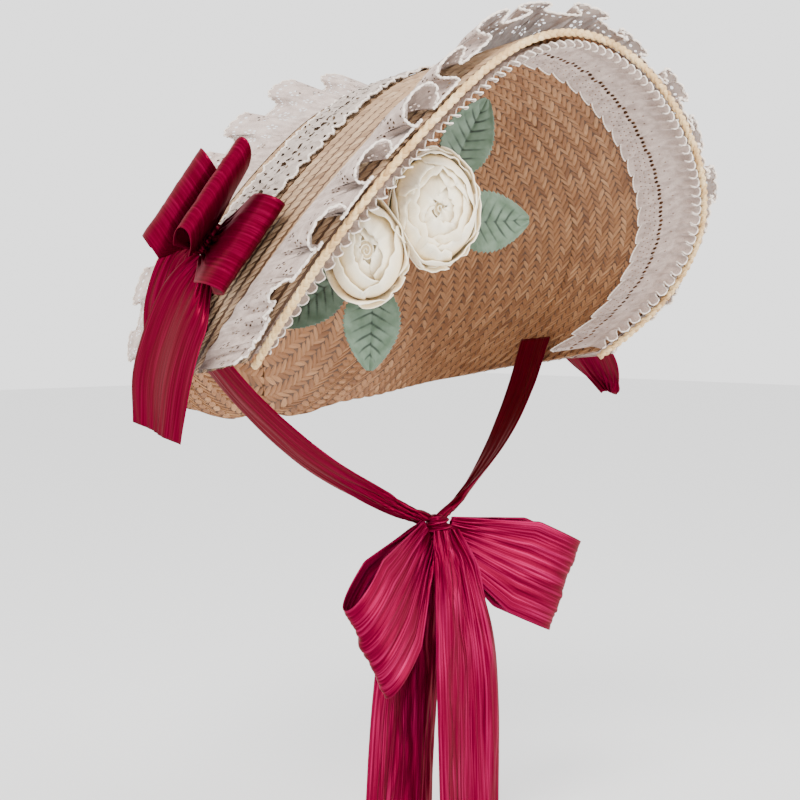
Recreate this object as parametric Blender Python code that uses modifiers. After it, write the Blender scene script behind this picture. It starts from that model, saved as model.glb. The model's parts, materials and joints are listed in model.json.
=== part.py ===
"""Straw bonnet with lace, two cloth roses and satin ties, modelled in its worn form.

Metres, +Z up. The wearer looks along -Y, the wearer's left is +X. The origin is the inner face
of the hood above the top of the head.
"""
import math
from collections import namedtuple

import bmesh
import bpy
from mathutils import Matrix, Vector

# Hood
HOOD_LENGTH = 0.306
RIM_WIDTH = 0.324
RIM_RISE = 0.157
RIM_FALL = 0.150
RIM_SWEEP = 0.118
BACK_DROP = 0.148
SEAT_BACK = 0.170
BRIM_DEPTH = 0.110
STRAW_WALL = 0.002
JOIN_GAP = 0.0018
ROW_PITCH = 0.011
ROW_RELIEF = 0.0016
STRAW_COLUMNS = 20
CROWN_ROWS = 9
BRAID_DIAMETER = 0.007
BRAID_POINTS = 32

# Lace and crochet
LACE_WALL = 0.0010
CROCHET_WALL = 0.0014
OUTER_RUFFLE_BASE = 0.050
OUTER_RUFFLE_WIDTH = 0.046
OUTER_RUFFLE_LIFT = 0.013
OUTER_RUFFLE_FOLD = 0.0070
OUTER_RUFFLE_PITCH = 0.038
OUTER_RUFFLE_LOW = 0.010
CROCHET_WIDTH = 0.056
CROCHET_SCALLOP = 0.004
CROCHET_REPEAT = 0.026
CROCHET_BEHIND = 0.0168
BACK_RUFFLE_BASE = 0.172
BACK_RUFFLE_WIDTH = 0.044
BACK_RUFFLE_LIFT = 0.021
BACK_RUFFLE_FOLD = 0.0055
BACK_RUFFLE_PITCH = 0.040
INNER_RUFFLE_WIDTH = 0.047
INNER_RUFFLE_DEPTH = 0.006
INNER_RUFFLE_PITCH = 0.028
LACE_END = 0.985
FOLD_LEAN = 0.6
FOLD_COLUMNS = 6

# Flowers
ROSE_LARGE_RADIUS = 0.0285
ROSE_SMALL_RADIUS = 0.0255
ROSE_TALL = 1.30
ROSE_BACK = 0.45
LEAF_LENGTH = 0.050
LEAF_WIDTH = 0.038
LEAF_WALL = 0.0010
LEAF_CUP = 0.004

# Ribbon
RIBBON_WIDTH = 0.064
RIBBON_WALL = 0.0011
SIDE_BOW_BACK = 0.128
SIDE_BOW_SHARE = 0.68
SIDE_BOW_SPAN = 0.060
SIDE_KNOT_SIZE = 0.018
SIDE_TAIL_LENGTH = 0.120
CHIN_DROP = 0.284
CHIN_AHEAD = 0.050
CHIN_KNOT_SIZE = 0.016
CHIN_LOOP_LENGTH = 0.098
CHIN_TAIL_LENGTH = 0.190
TIE_BACK = 0.088
TIE_SHARE = 0.92
TIE_SAG = 0.015

# Room between pieces that touch on the real object
GAP = 0.0003
MERGE = 0.00005

Section = namedtuple("Section", "along ridge width rise fall sweep end")

# Sections of the hood from the rim to the closed back. along is a share of HOOD_LENGTH, ridge of
# BACK_DROP, width of RIM_WIDTH, rise of RIM_RISE, fall of RIM_FALL, sweep of RIM_SWEEP, and end,
# how far the section reaches round on each side, of a half turn.
HOOD_SECTIONS = (
    Section(0.000, 0.00, 1.000, 1.000, 1.00, 1.00, 0.583),
    Section(0.147, 0.04, 0.994, 0.994, 1.00, 0.97, 0.589),
    Section(0.294, 0.08, 0.975, 0.981, 0.99, 0.91, 0.594),
    Section(0.441, 0.12, 0.944, 0.962, 0.97, 0.80, 0.606),
    Section(0.588, 0.17, 0.885, 0.924, 0.90, 0.62, 0.628),
    Section(0.735, 0.24, 0.800, 0.847, 0.80, 0.38, 0.678),
    Section(0.866, 0.35, 0.665, 0.713, 0.66, 0.15, 0.778),
    Section(0.964, 0.57, 0.450, 0.497, 0.45, 0.03, 1.000),
    Section(1.000, 1.00, 0.000, 0.000, 0.00, 0.00, 1.000),
)
# The straw's two edges nearly meet at the nape, this far round of a half turn.
NAPE_SHARE = 0.994
SHOULDER_EASE = 0.06
SWEEP_POWER = 2.4
LOW_SHARE = 0.25
LOW_FLATTENING = 0.85

COLOURS = {
    "straw": ((0.52, 0.36, 0.20), 0.70),
    "rim": ((0.78, 0.58, 0.32), 0.60),
    "lace": ((0.78, 0.72, 0.68), 0.85),
    "rose": ((0.92, 0.86, 0.74), 0.80),
    "leaf": ((0.17, 0.26, 0.19), 0.75),
    "satin": ((0.36, 0.01, 0.05), 0.35),
}


def clear_scene():
    for item in list(bpy.data.objects):
        bpy.data.objects.remove(item, do_unlink=True)
    for group in list(bpy.data.collections):
        bpy.data.collections.remove(group)


def make_collection():
    group = bpy.data.collections.new("straw_bonnet")
    bpy.context.scene.collection.children.link(group)
    return group


def make_materials():
    made = {}
    for name, (colour, roughness) in COLOURS.items():
        material = bpy.data.materials.new(name)
        material.use_nodes = True
        shader = material.node_tree.nodes["Principled BSDF"]
        shader.inputs["Base Color"].default_value = (*colour, 1.0)
        shader.inputs["Roughness"].default_value = roughness
        material.diffuse_color = (*colour, 1.0)
        made[name] = material
    return made


def smooth_rows(rows, place):
    """Read a table at place, from 0 to the last row number, along a smooth curve through its rows."""
    last = len(rows) - 1
    low = min(int(place), last - 1)
    part = place - low

    def slope(index, column):
        before = rows[max(index - 1, 0)][column]
        after = rows[min(index + 1, last)][column]
        return (after - before) / (min(index + 1, last) - max(index - 1, 0))

    values = []
    for column in range(len(rows[0])):
        values.append(
            (2 * part**3 - 3 * part**2 + 1) * rows[low][column]
            + (part**3 - 2 * part**2 + part) * slope(low, column)
            + (3 * part**2 - 2 * part**3) * rows[low + 1][column]
            + (part**3 - part**2) * slope(low + 1, column)
        )
    return type(rows[0])(*values) if hasattr(rows[0], "_fields") else values


def hood_station(back):
    """The place in HOOD_SECTIONS that lies this far behind the rim's top."""
    low, high = 0.0, float(len(HOOD_SECTIONS) - 1)
    for _ in range(24):
        middle = (low + high) / 2
        if smooth_rows(HOOD_SECTIONS, middle).along * HOOD_LENGTH < back:
            low = middle
        else:
            high = middle
    return low


def section_point(station, share):
    """A point half way through the straw, before the hood is set on its seat. share is -1 to 1."""
    row = smooth_rows(HOOD_SECTIONS, station)
    turn = math.pi * share * min(row.end, NAPE_SHARE)
    ease = 1 - SHOULDER_EASE * math.sin(2 * turn) ** 2
    rise = row.rise * RIM_RISE
    fall = row.fall * RIM_FALL
    level = math.cos(turn) * ease
    drop = rise - level * (rise if level > 0 else fall)
    full = max(rise + LOW_SHARE * fall, MERGE)
    back = row.along * HOOD_LENGTH + row.sweep * RIM_SWEEP * (drop / full) ** SWEEP_POWER
    across = row.width * RIM_WIDTH / 2 * math.sin(turn) * ease
    return Vector((across, back, -row.ridge * BACK_DROP - drop))


SEAT = section_point(hood_station(SEAT_BACK), 0.0) - Vector((0, 0, STRAW_WALL / 2))


def hood_point(station, share):
    return section_point(station, share) - SEAT


def hood_frame(station, share):
    """Point, direction round the hood towards +X, direction backwards, and outward normal."""
    step = 0.004
    near = min(max(station, step), len(HOOD_SECTIONS) - 1 - step)
    side = min(max(share, step - 1), 1 - step)
    point = hood_point(station, share)
    round_way = (hood_point(near, side + step) - hood_point(near, side - step)).normalized()
    back_way = (hood_point(near + step, side) - hood_point(near - step, side)).normalized()
    normal = round_way.cross(back_way).normalized()
    back_way = normal.cross(round_way)
    return point, round_way, back_way, -normal if normal.dot(point - MIDDLE) < 0 else normal


MIDDLE = Vector((0, SEAT_BACK, -RIM_RISE)) - SEAT


def on_hood(back, share, lift=0.0, ahead=0.0, around=0.0):
    """A point off the hood: lift along the outward normal, ahead towards the rim, around along it."""
    point, round_way, back_way, normal = hood_frame(hood_station(max(back, 0.0)), share)
    return point + normal * lift - back_way * (ahead - min(back, 0.0)) + round_way * around


def add_object(name, mesh, material, group):
    item = bpy.data.objects.new(name, mesh)
    mesh.materials.append(material)
    group.objects.link(item)
    return item


def add_sheet(name, columns, rows, place, wall, material, group, is_open=None):
    """A wall of straw, lace or cloth: a grid of points, place(u, v), thickened both ways."""
    grid = bmesh.new()
    points = []
    for i in range(columns + 1):
        points.append([grid.verts.new(place(i / columns, j / rows)) for j in range(rows + 1)])
    for i in range(columns):
        for j in range(rows):
            if is_open is None or not is_open(i, j):
                grid.faces.new((points[i][j], points[i + 1][j], points[i + 1][j + 1], points[i][j + 1]))
    bmesh.ops.remove_doubles(grid, verts=grid.verts, dist=MERGE)
    bmesh.ops.recalc_face_normals(grid, faces=grid.faces)
    loose = [vert for vert in grid.verts if not vert.link_faces]
    bmesh.ops.delete(grid, geom=loose, context="VERTS")
    mesh = bpy.data.meshes.new(name)
    grid.to_mesh(mesh)
    grid.free()
    mesh.shade_smooth()
    item = add_object(name, mesh, material, group)
    solidify = item.modifiers.new("wall", "SOLIDIFY")
    solidify.thickness = wall
    solidify.offset = 0.0
    solidify.use_rim = True
    return item


def fold_count(pitch):
    """Folds that fit round the rim, which is close to a half ellipse with straight ends."""
    half = RIM_WIDTH / 2
    length = math.pi * (half + RIM_RISE) / 2 + RIM_FALL * LOW_SHARE * 2
    return max(round(length / pitch), 4)


def row_lift(back):
    """The straw rows stand up in low ribs; the ribs are level on both edges of the brim."""
    rows = max(round(BRIM_DEPTH / ROW_PITCH), 1)
    return -ROW_RELIEF / 2 * math.cos(2 * math.pi * rows * back / BRIM_DEPTH)


# The straw's flat facets lie a little inside its curve, and what lines it keeps clear of them.
FACET_HALF = math.pi * HOOD_SECTIONS[3].end / STRAW_COLUMNS
FACET_SAG = RIM_WIDTH / 2 * (1 - math.cos(FACET_HALF))
OUTSIDE_FACE = STRAW_WALL / 2 + ROW_RELIEF / 2 + GAP
INSIDE_FACE = OUTSIDE_FACE + FACET_SAG


def make_brim(material, group):
    rows = 2 * max(round(BRIM_DEPTH / ROW_PITCH), 1)

    def place(u, v):
        back = v * (BRIM_DEPTH - JOIN_GAP)
        return on_hood(back, 2 * u - 1, row_lift(back))

    add_sheet("straw_brim", STRAW_COLUMNS, rows, place, STRAW_WALL, material, group)


def make_crown(material, group):
    first = hood_station(BRIM_DEPTH)
    last = len(HOOD_SECTIONS) - 1

    def place(u, v):
        return hood_point(first + (last - first) * v, 2 * u - 1)

    add_sheet("straw_crown", STRAW_COLUMNS, CROWN_ROWS, place, STRAW_WALL, material, group)


def add_tube(name, points, diameter, material, group):
    curve = bpy.data.curves.new(name, "CURVE")
    curve.dimensions = "3D"
    curve.bevel_depth = diameter / 2
    curve.bevel_resolution = 1
    curve.use_fill_caps = True
    spline = curve.splines.new("POLY")
    spline.points.add(len(points) - 1)
    for target, point in zip(spline.points, points):
        target.co = (*point, 1.0)
    return add_object(name, curve, material, group)


def make_rim_braid(material, group):
    centre = BRAID_DIAMETER / 2 + 4 * GAP
    points = [on_hood(0.0, 2 * i / BRAID_POINTS - 1, 0.0, centre) for i in range(BRAID_POINTS + 1)]
    add_tube("rim_braid", points, BRAID_DIAMETER, material, group)


def make_outer_ruffle(material, group):
    folds = fold_count(OUTER_RUFFLE_PITCH)
    base = OUTSIDE_FACE + LACE_WALL / 2

    def place(u, v):
        phase = 2 * math.pi * folds * u
        share = LACE_END * (2 * u - 1)
        rise = OUTER_RUFFLE_LIFT * (1 - LOW_FLATTENING * share**4)
        lift = base + v * (rise + OUTER_RUFFLE_FOLD * math.cos(phase))
        around = v * OUTER_RUFFLE_FOLD * FOLD_LEAN * math.sin(2 * phase)
        back = OUTER_RUFFLE_BASE + OUTER_RUFFLE_LOW * share**4 - OUTER_RUFFLE_WIDTH * v
        return on_hood(back, share, max(lift, base), 0.0, around)

    add_sheet("outer_ruffle", folds * FOLD_COLUMNS, 2, place, LACE_WALL, material, group)


def make_crochet_band(material, group):
    repeats = fold_count(CROCHET_REPEAT)
    base = OUTSIDE_FACE + CROCHET_WALL / 2

    def place(u, v):
        scallop = CROCHET_SCALLOP * abs(math.sin(math.pi * repeats * u))
        edge = (2 * v - 1) * (CROCHET_WIDTH / 2 - CROCHET_SCALLOP)
        reach = edge + scallop * (round(v) * 2 - 1) * (abs(2 * v - 1) > 0.9)
        return on_hood(BRIM_DEPTH + CROCHET_BEHIND + reach, LACE_END * (2 * u - 1), base)

    def is_open(i, j):
        return j == 1 and i % 4 == 1

    add_sheet("crochet_band", repeats * 4, 3, place, CROCHET_WALL, material, group, is_open)


def make_back_ruffle(material, group):
    folds = fold_count(BACK_RUFFLE_PITCH)
    base = STRAW_WALL / 2 + GAP + LACE_WALL / 2

    def place(u, v):
        phase = 2 * math.pi * folds * u
        share = LACE_END * (2 * u - 1)
        flat = 1 - LOW_FLATTENING * share * share
        lift = base + v * flat * (BACK_RUFFLE_LIFT + BACK_RUFFLE_FOLD * math.cos(phase))
        around = v * BACK_RUFFLE_FOLD * FOLD_LEAN * math.sin(2 * phase)
        return on_hood(BACK_RUFFLE_BASE + BACK_RUFFLE_WIDTH * v, share, lift, 0.0, around)

    add_sheet("back_ruffle", folds * FOLD_COLUMNS, 2, place, LACE_WALL, material, group)


Frill = namedtuple("Frill", "reach depth fold tight")

# The inner ruffle from the rim inwards. reach is a share of INNER_RUFFLE_WIDTH, depth and the two
# kinds of fold, wide ones in the body and tight ones in the header, are shares of its depth.
INNER_FRILL = (
    Frill(0.00, 0.55, 0.00, 0.45),
    Frill(0.28, 0.10, 0.00, 0.00),
    Frill(0.62, 0.34, 0.14, 0.00),
    Frill(1.00, 0.60, 0.40, 0.00),
)


def make_inner_ruffle(material, group):
    folds = fold_count(INNER_RUFFLE_PITCH)
    base = INSIDE_FACE + LACE_WALL / 2

    def place(u, v):
        row = INNER_FRILL[round(v * (len(INNER_FRILL) - 1))]
        wide = math.cos(2 * math.pi * folds * u)
        tight = math.cos(4 * math.pi * folds * u)
        depth = INNER_RUFFLE_DEPTH * (row.depth + row.fold * wide + row.tight * tight)
        return on_hood(row.reach * INNER_RUFFLE_WIDTH, LACE_END * (2 * u - 1), -base - depth)

    add_sheet("inner_ruffle", folds * 4, len(INNER_FRILL) - 1, place, LACE_WALL, material, group)


Tier = namedtuple("Tier", "lip size petals turn")

# Petal tiers of a rose from the bud outwards. lip is the angle of their lips off the bloom's axis
# in degrees, size a share of the radius, petals their number, turn their start in degrees.
ROSE_TIERS = (
    Tier(0, 0.66, 2, 0),
    Tier(30, 0.80, 3, 40),
    Tier(58, 0.92, 4, 10),
    Tier(84, 1.00, 5, 55),
)
LIP_WAVE = 12
LOBE_DEPTH = 0.06


def rose_reach(tilt, turn):
    """How far a rose's surface lies from its centre, tilt off its axis and turn round it."""
    reach = 0.0
    for tier in ROSE_TIERS:
        lobe = abs(math.cos(tier.petals * (turn - math.radians(tier.turn)) / 2))
        if math.degrees(tilt) >= tier.lip - LIP_WAVE * lobe:
            reach = max(reach, tier.size * (1 - LOBE_DEPTH * (1 - lobe)))
    if math.cos(tilt) < 0:
        reach = min(reach, ROSE_BACK / max(-math.cos(tilt), MERGE))
    return reach


def add_rose(name, centre, radius, facing, material, group):
    """A rose, pressed flat where the other rose lies against it."""
    other = next(rose_place(key) for key in ROSES if key != name)
    towards = (other[0] - centre).normalized()
    room = (other[0] - centre).length * radius / (radius + other[1]) - GAP / 2
    ball = bmesh.new()
    bmesh.ops.create_uvsphere(ball, u_segments=18, v_segments=12, radius=1.0)
    for vert in ball.verts:
        turn = math.atan2(vert.co.y, vert.co.x)
        tilt = math.acos(max(-1.0, min(1.0, vert.co.z)))
        vert.co *= rose_reach(tilt, turn) * radius
        vert.co.y *= ROSE_TALL
        vert.co = facing @ vert.co
        vert.co -= towards * max(vert.co.dot(towards) - room, 0.0)
    mesh = bpy.data.meshes.new(name)
    ball.to_mesh(mesh)
    ball.free()
    mesh.shade_smooth()
    item = add_object(name, mesh, material, group)
    item.location = centre


Flower = namedtuple("Flower", "back share lift yaw")

# Where the roses sit inside the brim: lift is how far the centre stands off the inner ruffle in
# shares of the radius, yaw how far the bloom turns from straight ahead to the wearer's right.
ROSES = {
    "rose_large": Flower(0.025, -0.51, 1.38, 30),
    "rose_small": Flower(0.019, -0.70, 0.92, 42),
}
RUFFLE_FACE = INSIDE_FACE + LACE_WALL + INNER_RUFFLE_DEPTH + GAP


def flower_frame(yaw):
    """x to the wearer's left, y up, z out of the bloom."""
    turn = math.radians(yaw)
    out = Vector((-math.sin(turn), -math.cos(turn), 0.0))
    up = Vector((0, 0, 1))
    return Matrix((up.cross(out), up, out)).transposed()


def rose_place(name):
    radius = ROSE_LARGE_RADIUS if name == "rose_large" else ROSE_SMALL_RADIUS
    row = ROSES[name]
    return on_hood(row.back, row.share, -RUFFLE_FACE - row.lift * radius), radius, flower_frame(row.yaw)


Leaf = namedtuple("Leaf", "rose right up tip_right tip_up tip_out length width")

# Leaves behind the roses. right and up place the stem from the rose's centre in shares of its
# radius, the tip columns give the leaf's direction, length and width are shares of a whole leaf.
LEAVES = {
    "leaf_1": Leaf("rose_large", 0.50, 0.60, 0.45, 0.88, 0.0, 1.00, 0.85),
    "leaf_2": Leaf("rose_large", 0.55, -0.20, 0.97, 0.05, 0.0, 0.95, 1.00),
    "leaf_3": Leaf("rose_large", -0.20, 0.66, -0.30, 0.95, -0.1, 0.50, 0.45),
    "leaf_4": Leaf("rose_small", -0.55, -0.35, -0.75, -0.62, -0.45, 1.15, 0.85),
    "leaf_5": Leaf("rose_small", 0.15, -0.60, -0.05, -1.00, 0.0, 1.00, 0.92),
}
LEAF_TEETH = 6
TOOTH_DEPTH = 0.10


def leaf_half_width(along):
    """Half width of a leaf, with teeth, as a share of its width."""
    tooth = 1 - TOOTH_DEPTH * ((along * LEAF_TEETH) % 1)
    return 0.5 * math.sin(math.pi * (0.04 + 0.94 * along) ** 0.8) ** 0.75 * tooth


def make_leaf(name, material, group):
    row = LEAVES[name]
    centre, radius, frame = rose_place(row.rose)
    right, up, out = frame.col
    direction = (right * row.tip_right + up * row.tip_up + out * row.tip_out).normalized()
    across = direction.cross(out).normalized()
    face = across.cross(direction)
    seat = ROSE_BACK * radius + GAP + LEAF_WALL / 2
    stem = centre + right * row.right * radius + up * row.up * radius * ROSE_TALL - out * seat

    def place(u, v):
        side = 2 * v - 1
        width = leaf_half_width(u) * LEAF_WIDTH * row.width * side
        dip = -LEAF_CUP * (1 - abs(side)) * math.sin(math.pi * u) - LEAF_CUP * u * u
        return stem + direction * LEAF_LENGTH * row.length * u + across * width + face * dip

    add_sheet(name, 2 * LEAF_TEETH, 2, place, LEAF_WALL, material, group)


Loop = namedtuple("Loop", "out ahead up bulge")

# Loops of a side bow. out, ahead and up place the middle of the fold from the knot, off the hood,
# towards the rim and towards the ridge; bulge is half the loop's depth. Shares of SIDE_BOW_SPAN.
SIDE_LOOPS = {
    "loop_front": Loop(0.03, 1.02, 0.32, 0.13),
    "loop_middle": Loop(0.53, 0.64, 0.60, 0.105),
    "loop_back": Loop(0.62, 0.08, 0.22, 0.15),
}
Tail = namedtuple("Tail", "out back down width tilt")

# Tails of a side bow from the knot. out is away from the wearer's middle. These three are shares
# of SIDE_TAIL_LENGTH, width of RIBBON_WIDTH, and tilt lowers the front edge, in degrees.
SIDE_TAILS = {
    "tail_front": (
        Tail(0.04, -0.02, 0.132, 0.34, 50),
        Tail(0.11, 0.03, 0.30, 0.72, 35),
        Tail(0.17, 0.09, 0.50, 0.88, 12),
        Tail(0.24, 0.09, 0.72, 0.90, 6),
        Tail(0.29, 0.06, 0.98, 0.74, 14),
    ),
    "tail_back": (
        Tail(0.024, 0.12, 0.05, 0.26, 60),
        Tail(0.033, 0.22, 0.16, 0.60, 40),
        Tail(0.07, 0.27, 0.36, 0.72, 15),
        Tail(0.09, 0.26, 0.60, 0.72, 10),
    ),
}
Side = namedtuple("Side", "label way tail_length tail_ahead")

# The two sides of the bonnet. way is -1 or 1 along X, tail_length a share of SIDE_TAIL_LENGTH and
# tail_ahead how far the tails swing towards the rim over their length, as a share of it.
SIDES = (
    Side("right", -1, 1.00, 0.00),
    Side("left", 1, 0.88, 0.20),
)
SIDE_LOOP_START = 0.47
CHIN_LOOP_START = 0.53
CRINKLES = 3

# A ribbon loop leaves its knot gathered to ROOT_WIDTH of its width, opens out LOOP_OPENING times as
# fast as it reaches out, swells to LOOP_SWELL of its bulge, and its two runs start LAYER_ROOM apart.
ROOT_WIDTH = 0.34
LOOP_OPENING = 1.7
LOOP_SWELL = 1.4
LAYER_ROOM = 1.2 * RIBBON_WALL


def add_loop(name, knot, offset, axis, bulge, start, material, group):
    """A ribbon loop from the knot out to offset and back, its width along axis."""
    along = axis * offset.dot(axis)
    outward = offset - along
    side = axis.cross(outward).normalized()
    first = start / outward.length

    def place(u, v):
        reach = (1 - math.cos(2 * math.pi * u)) / 2
        depth = bulge * LOOP_SWELL * reach * math.sin(2 * math.pi * u)
        depth += LAYER_ROOM * math.cos(math.pi * u)
        fold = (1 - reach) ** 2 * RIBBON_WALL / 2 * math.cos(2 * math.pi * v)
        width = RIBBON_WIDTH * (ROOT_WIDTH + (1 - ROOT_WIDTH) * min(1.0, LOOP_OPENING * reach))
        middle = knot + outward * (first + (1 - first) * reach) + along * reach
        return middle + side * (depth + fold * math.cos(math.pi * u)) + axis * (v - 0.5) * width

    add_sheet(name, 14, 2, place, RIBBON_WALL, material, group)


def add_tail(name, rows, origin, side, material, group):
    """A ribbon end of a side bow that hangs through its rows, with crinkles along it."""
    def place(u, v):
        row = smooth_rows(rows, u * (len(rows) - 1))
        tilt = math.radians(row.tilt)
        swing = side.tail_ahead * row.down**2
        drop = row.down * (1 - (1 - side.tail_length) * row.down)
        middle = Vector((side.way * row.out, row.back - swing, -drop))
        across = Vector((0, -math.cos(tilt), -math.sin(tilt))) * row.width * RIBBON_WIDTH
        ripple = Vector((side.way * RIBBON_WALL * math.cos(math.pi * CRINKLES * v), 0, 0))
        return origin + middle * SIDE_TAIL_LENGTH + across * (v - 0.5) + ripple

    add_sheet(name, 7, 4, place, RIBBON_WALL, material, group)


KNOT_TALL = 1.15
KNOT_PINCH = 0.10
KNOT_REST = 0.45


def add_knot(name, centre, size, axis, material, group):
    ball = bmesh.new()
    bmesh.ops.create_uvsphere(ball, u_segments=10, v_segments=6, radius=size / 2)
    for vert in ball.verts:
        vert.co.z *= KNOT_TALL
        pinch = 1 - KNOT_PINCH * math.cos(vert.co.z / size * 2 * math.pi)
        vert.co.x *= pinch
        vert.co.y *= pinch
    mesh = bpy.data.meshes.new(name)
    ball.to_mesh(mesh)
    ball.free()
    mesh.shade_smooth()
    item = add_object(name, mesh, material, group)
    item.matrix_world = Matrix.Translation(centre) @ axis.to_track_quat("Z", "Y").to_matrix().to_4x4()


def make_side_bow(side, material, group):
    lift = OUTSIDE_FACE + CROCHET_WALL + GAP + SIDE_KNOT_SIZE * KNOT_REST
    station = hood_station(SIDE_BOW_BACK)
    point, round_way, back_way, normal = hood_frame(station, side.way * SIDE_BOW_SHARE)
    knot = point + normal * lift
    axis = -side.way * round_way
    add_knot(side.label + "_bow_knot", knot, SIDE_KNOT_SIZE, axis, material, group)
    for name, row in SIDE_LOOPS.items():
        offset = (normal * row.out - back_way * row.ahead + axis * row.up) * SIDE_BOW_SPAN
        start = SIDE_KNOT_SIZE * SIDE_LOOP_START
        bulge = row.bulge * SIDE_BOW_SPAN
        add_loop(f"{side.label}_bow_{name}", knot, offset, axis, bulge, start, material, group)
    for name, rows in SIDE_TAILS.items():
        add_tail(f"{side.label}_bow_{name}", rows, knot, side, material, group)


Tie = namedtuple("Tie", "along sag width tilt")

# One side of the chin tie, from inside the hood down to the knot. along runs from 0 to 1, sag is a
# share of TIE_SAG, width of RIBBON_WIDTH, folded double, and tilt raises the front edge in degrees.
TIE_ROWS = (
    Tie(0.00, 0.00, 0.44, 5),
    Tie(0.24, 0.72, 0.44, 12),
    Tie(0.52, 1.00, 0.42, 22),
    Tie(0.80, 0.60, 0.30, 32),
    Tie(1.00, 0.00, 0.13, 40),
)


# Where the tie meets the knot, in shares of CHIN_KNOT_SIZE, and the way it sags: out to its own side
# of the wearer, back, and up.
TIE_END = (0.32, 0.24, 0.34)
TIE_DROOP = (0.50, 0.00, -0.85)


def make_chin_tie(side, material, group):
    inset = INSIDE_FACE + 3 * RIBBON_WALL
    start = on_hood(TIE_BACK, side.way * TIE_SHARE, -inset)
    knot = Vector((0, -CHIN_AHEAD, -CHIN_DROP))
    mirror = Vector((side.way, 1, 1))
    end = knot + mirror * Vector(TIE_END) * CHIN_KNOT_SIZE
    droop = mirror * Vector(TIE_DROOP) * TIE_SAG

    def place(u, v):
        row = smooth_rows(TIE_ROWS, u * (len(TIE_ROWS) - 1))
        tilt = math.radians(row.tilt)
        middle = start.lerp(end, row.along) + droop * row.sag
        across = Vector((0, -math.cos(tilt), math.sin(tilt))) * row.width * RIBBON_WIDTH
        pleat = Vector((side.way * 2 * RIBBON_WALL * (1 - abs(2 * v - 1)), 0, 0))
        return middle + across * (v - 0.5) + pleat

    add_sheet("chin_tie_" + side.label, 9, 2, place, 2 * RIBBON_WALL, material, group)


ChinLoop = namedtuple("ChinLoop", "side ahead down wide_side wide_ahead wide_down")

# The chin bow's loops: the middle of the fold from the knot, as shares of CHIN_LOOP_LENGTH, and the
# direction of the ribbon's width there.
CHIN_LOOPS = {
    "chin_loop_right": ChinLoop(-0.74, 0.14, 0.74, 0.40, 0.14, 0.90),
    "chin_loop_left": ChinLoop(1.02, 0.20, 0.46, -0.35, -0.13, 0.93),
}
CHIN_BULGE = 0.10
ChinTail = namedtuple("ChinTail", "side ahead down width")

# The chin bow's ends from the knot, as shares of CHIN_TAIL_LENGTH, width of RIBBON_WIDTH.
CHIN_TAILS = {
    "chin_tail_front": (
        ChinTail(0.000, 0.044, 0.00, 0.28),
        ChinTail(0.012, 0.090, 0.16, 0.58),
        ChinTail(0.050, 0.100, 0.50, 0.84),
        ChinTail(0.065, 0.100, 1.00, 0.86),
    ),
    "chin_tail_back": (
        ChinTail(-0.010, -0.041, 0.01, 0.28),
        ChinTail(-0.060, -0.050, 0.25, 0.72),
        ChinTail(-0.110, -0.040, 0.55, 0.88),
        ChinTail(-0.150, -0.030, 0.97, 0.94),
    ),
}


def make_chin_tail(name, rows, knot, material, group):
    def place(u, v):
        row = smooth_rows(rows, u * (len(rows) - 1))
        middle = knot + Vector((row.side, -row.ahead, -row.down)) * CHIN_TAIL_LENGTH
        ripple = 2 * RIBBON_WALL * math.cos(math.pi * CRINKLES * v + 2 * u)
        return middle + Vector(((v - 0.5) * row.width * RIBBON_WIDTH, ripple, 0))

    add_sheet(name, 7, 4, place, RIBBON_WALL, material, group)


def make_chin_bow(material, group):
    knot = Vector((0, -CHIN_AHEAD, -CHIN_DROP))
    add_knot("chin_knot", knot, CHIN_KNOT_SIZE, Vector((0, 0, 1)), material, group)
    for name, row in CHIN_LOOPS.items():
        offset = Vector((row.side, -row.ahead, -row.down)) * CHIN_LOOP_LENGTH
        axis = Vector((row.wide_side, -row.wide_ahead, -row.wide_down)).normalized()
        bulge = CHIN_BULGE * CHIN_LOOP_LENGTH
        start = CHIN_KNOT_SIZE * CHIN_LOOP_START
        add_loop(name, knot, offset, axis, bulge, start, material, group)
    for name, rows in CHIN_TAILS.items():
        make_chin_tail(name, rows, knot, material, group)


def build():
    clear_scene()
    group = make_collection()
    materials = make_materials()
    make_brim(materials["straw"], group)
    make_crown(materials["straw"], group)
    make_rim_braid(materials["rim"], group)
    make_outer_ruffle(materials["lace"], group)
    make_crochet_band(materials["lace"], group)
    make_back_ruffle(materials["lace"], group)
    make_inner_ruffle(materials["lace"], group)
    for name in ROSES:
        add_rose(name, *rose_place(name), materials["rose"], group)
    for name in LEAVES:
        make_leaf(name, materials["leaf"], group)
    for side in SIDES:
        make_side_bow(side, materials["satin"], group)
        make_chin_tie(side, materials["satin"], group)
    make_chin_bow(materials["satin"], group)


build()
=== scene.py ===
"""Straw bonnet with lace, cloth roses and satin ties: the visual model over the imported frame.

Metres, +Z up. The wearer looks along -Y and the wearer's left is +X.
"""

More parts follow.
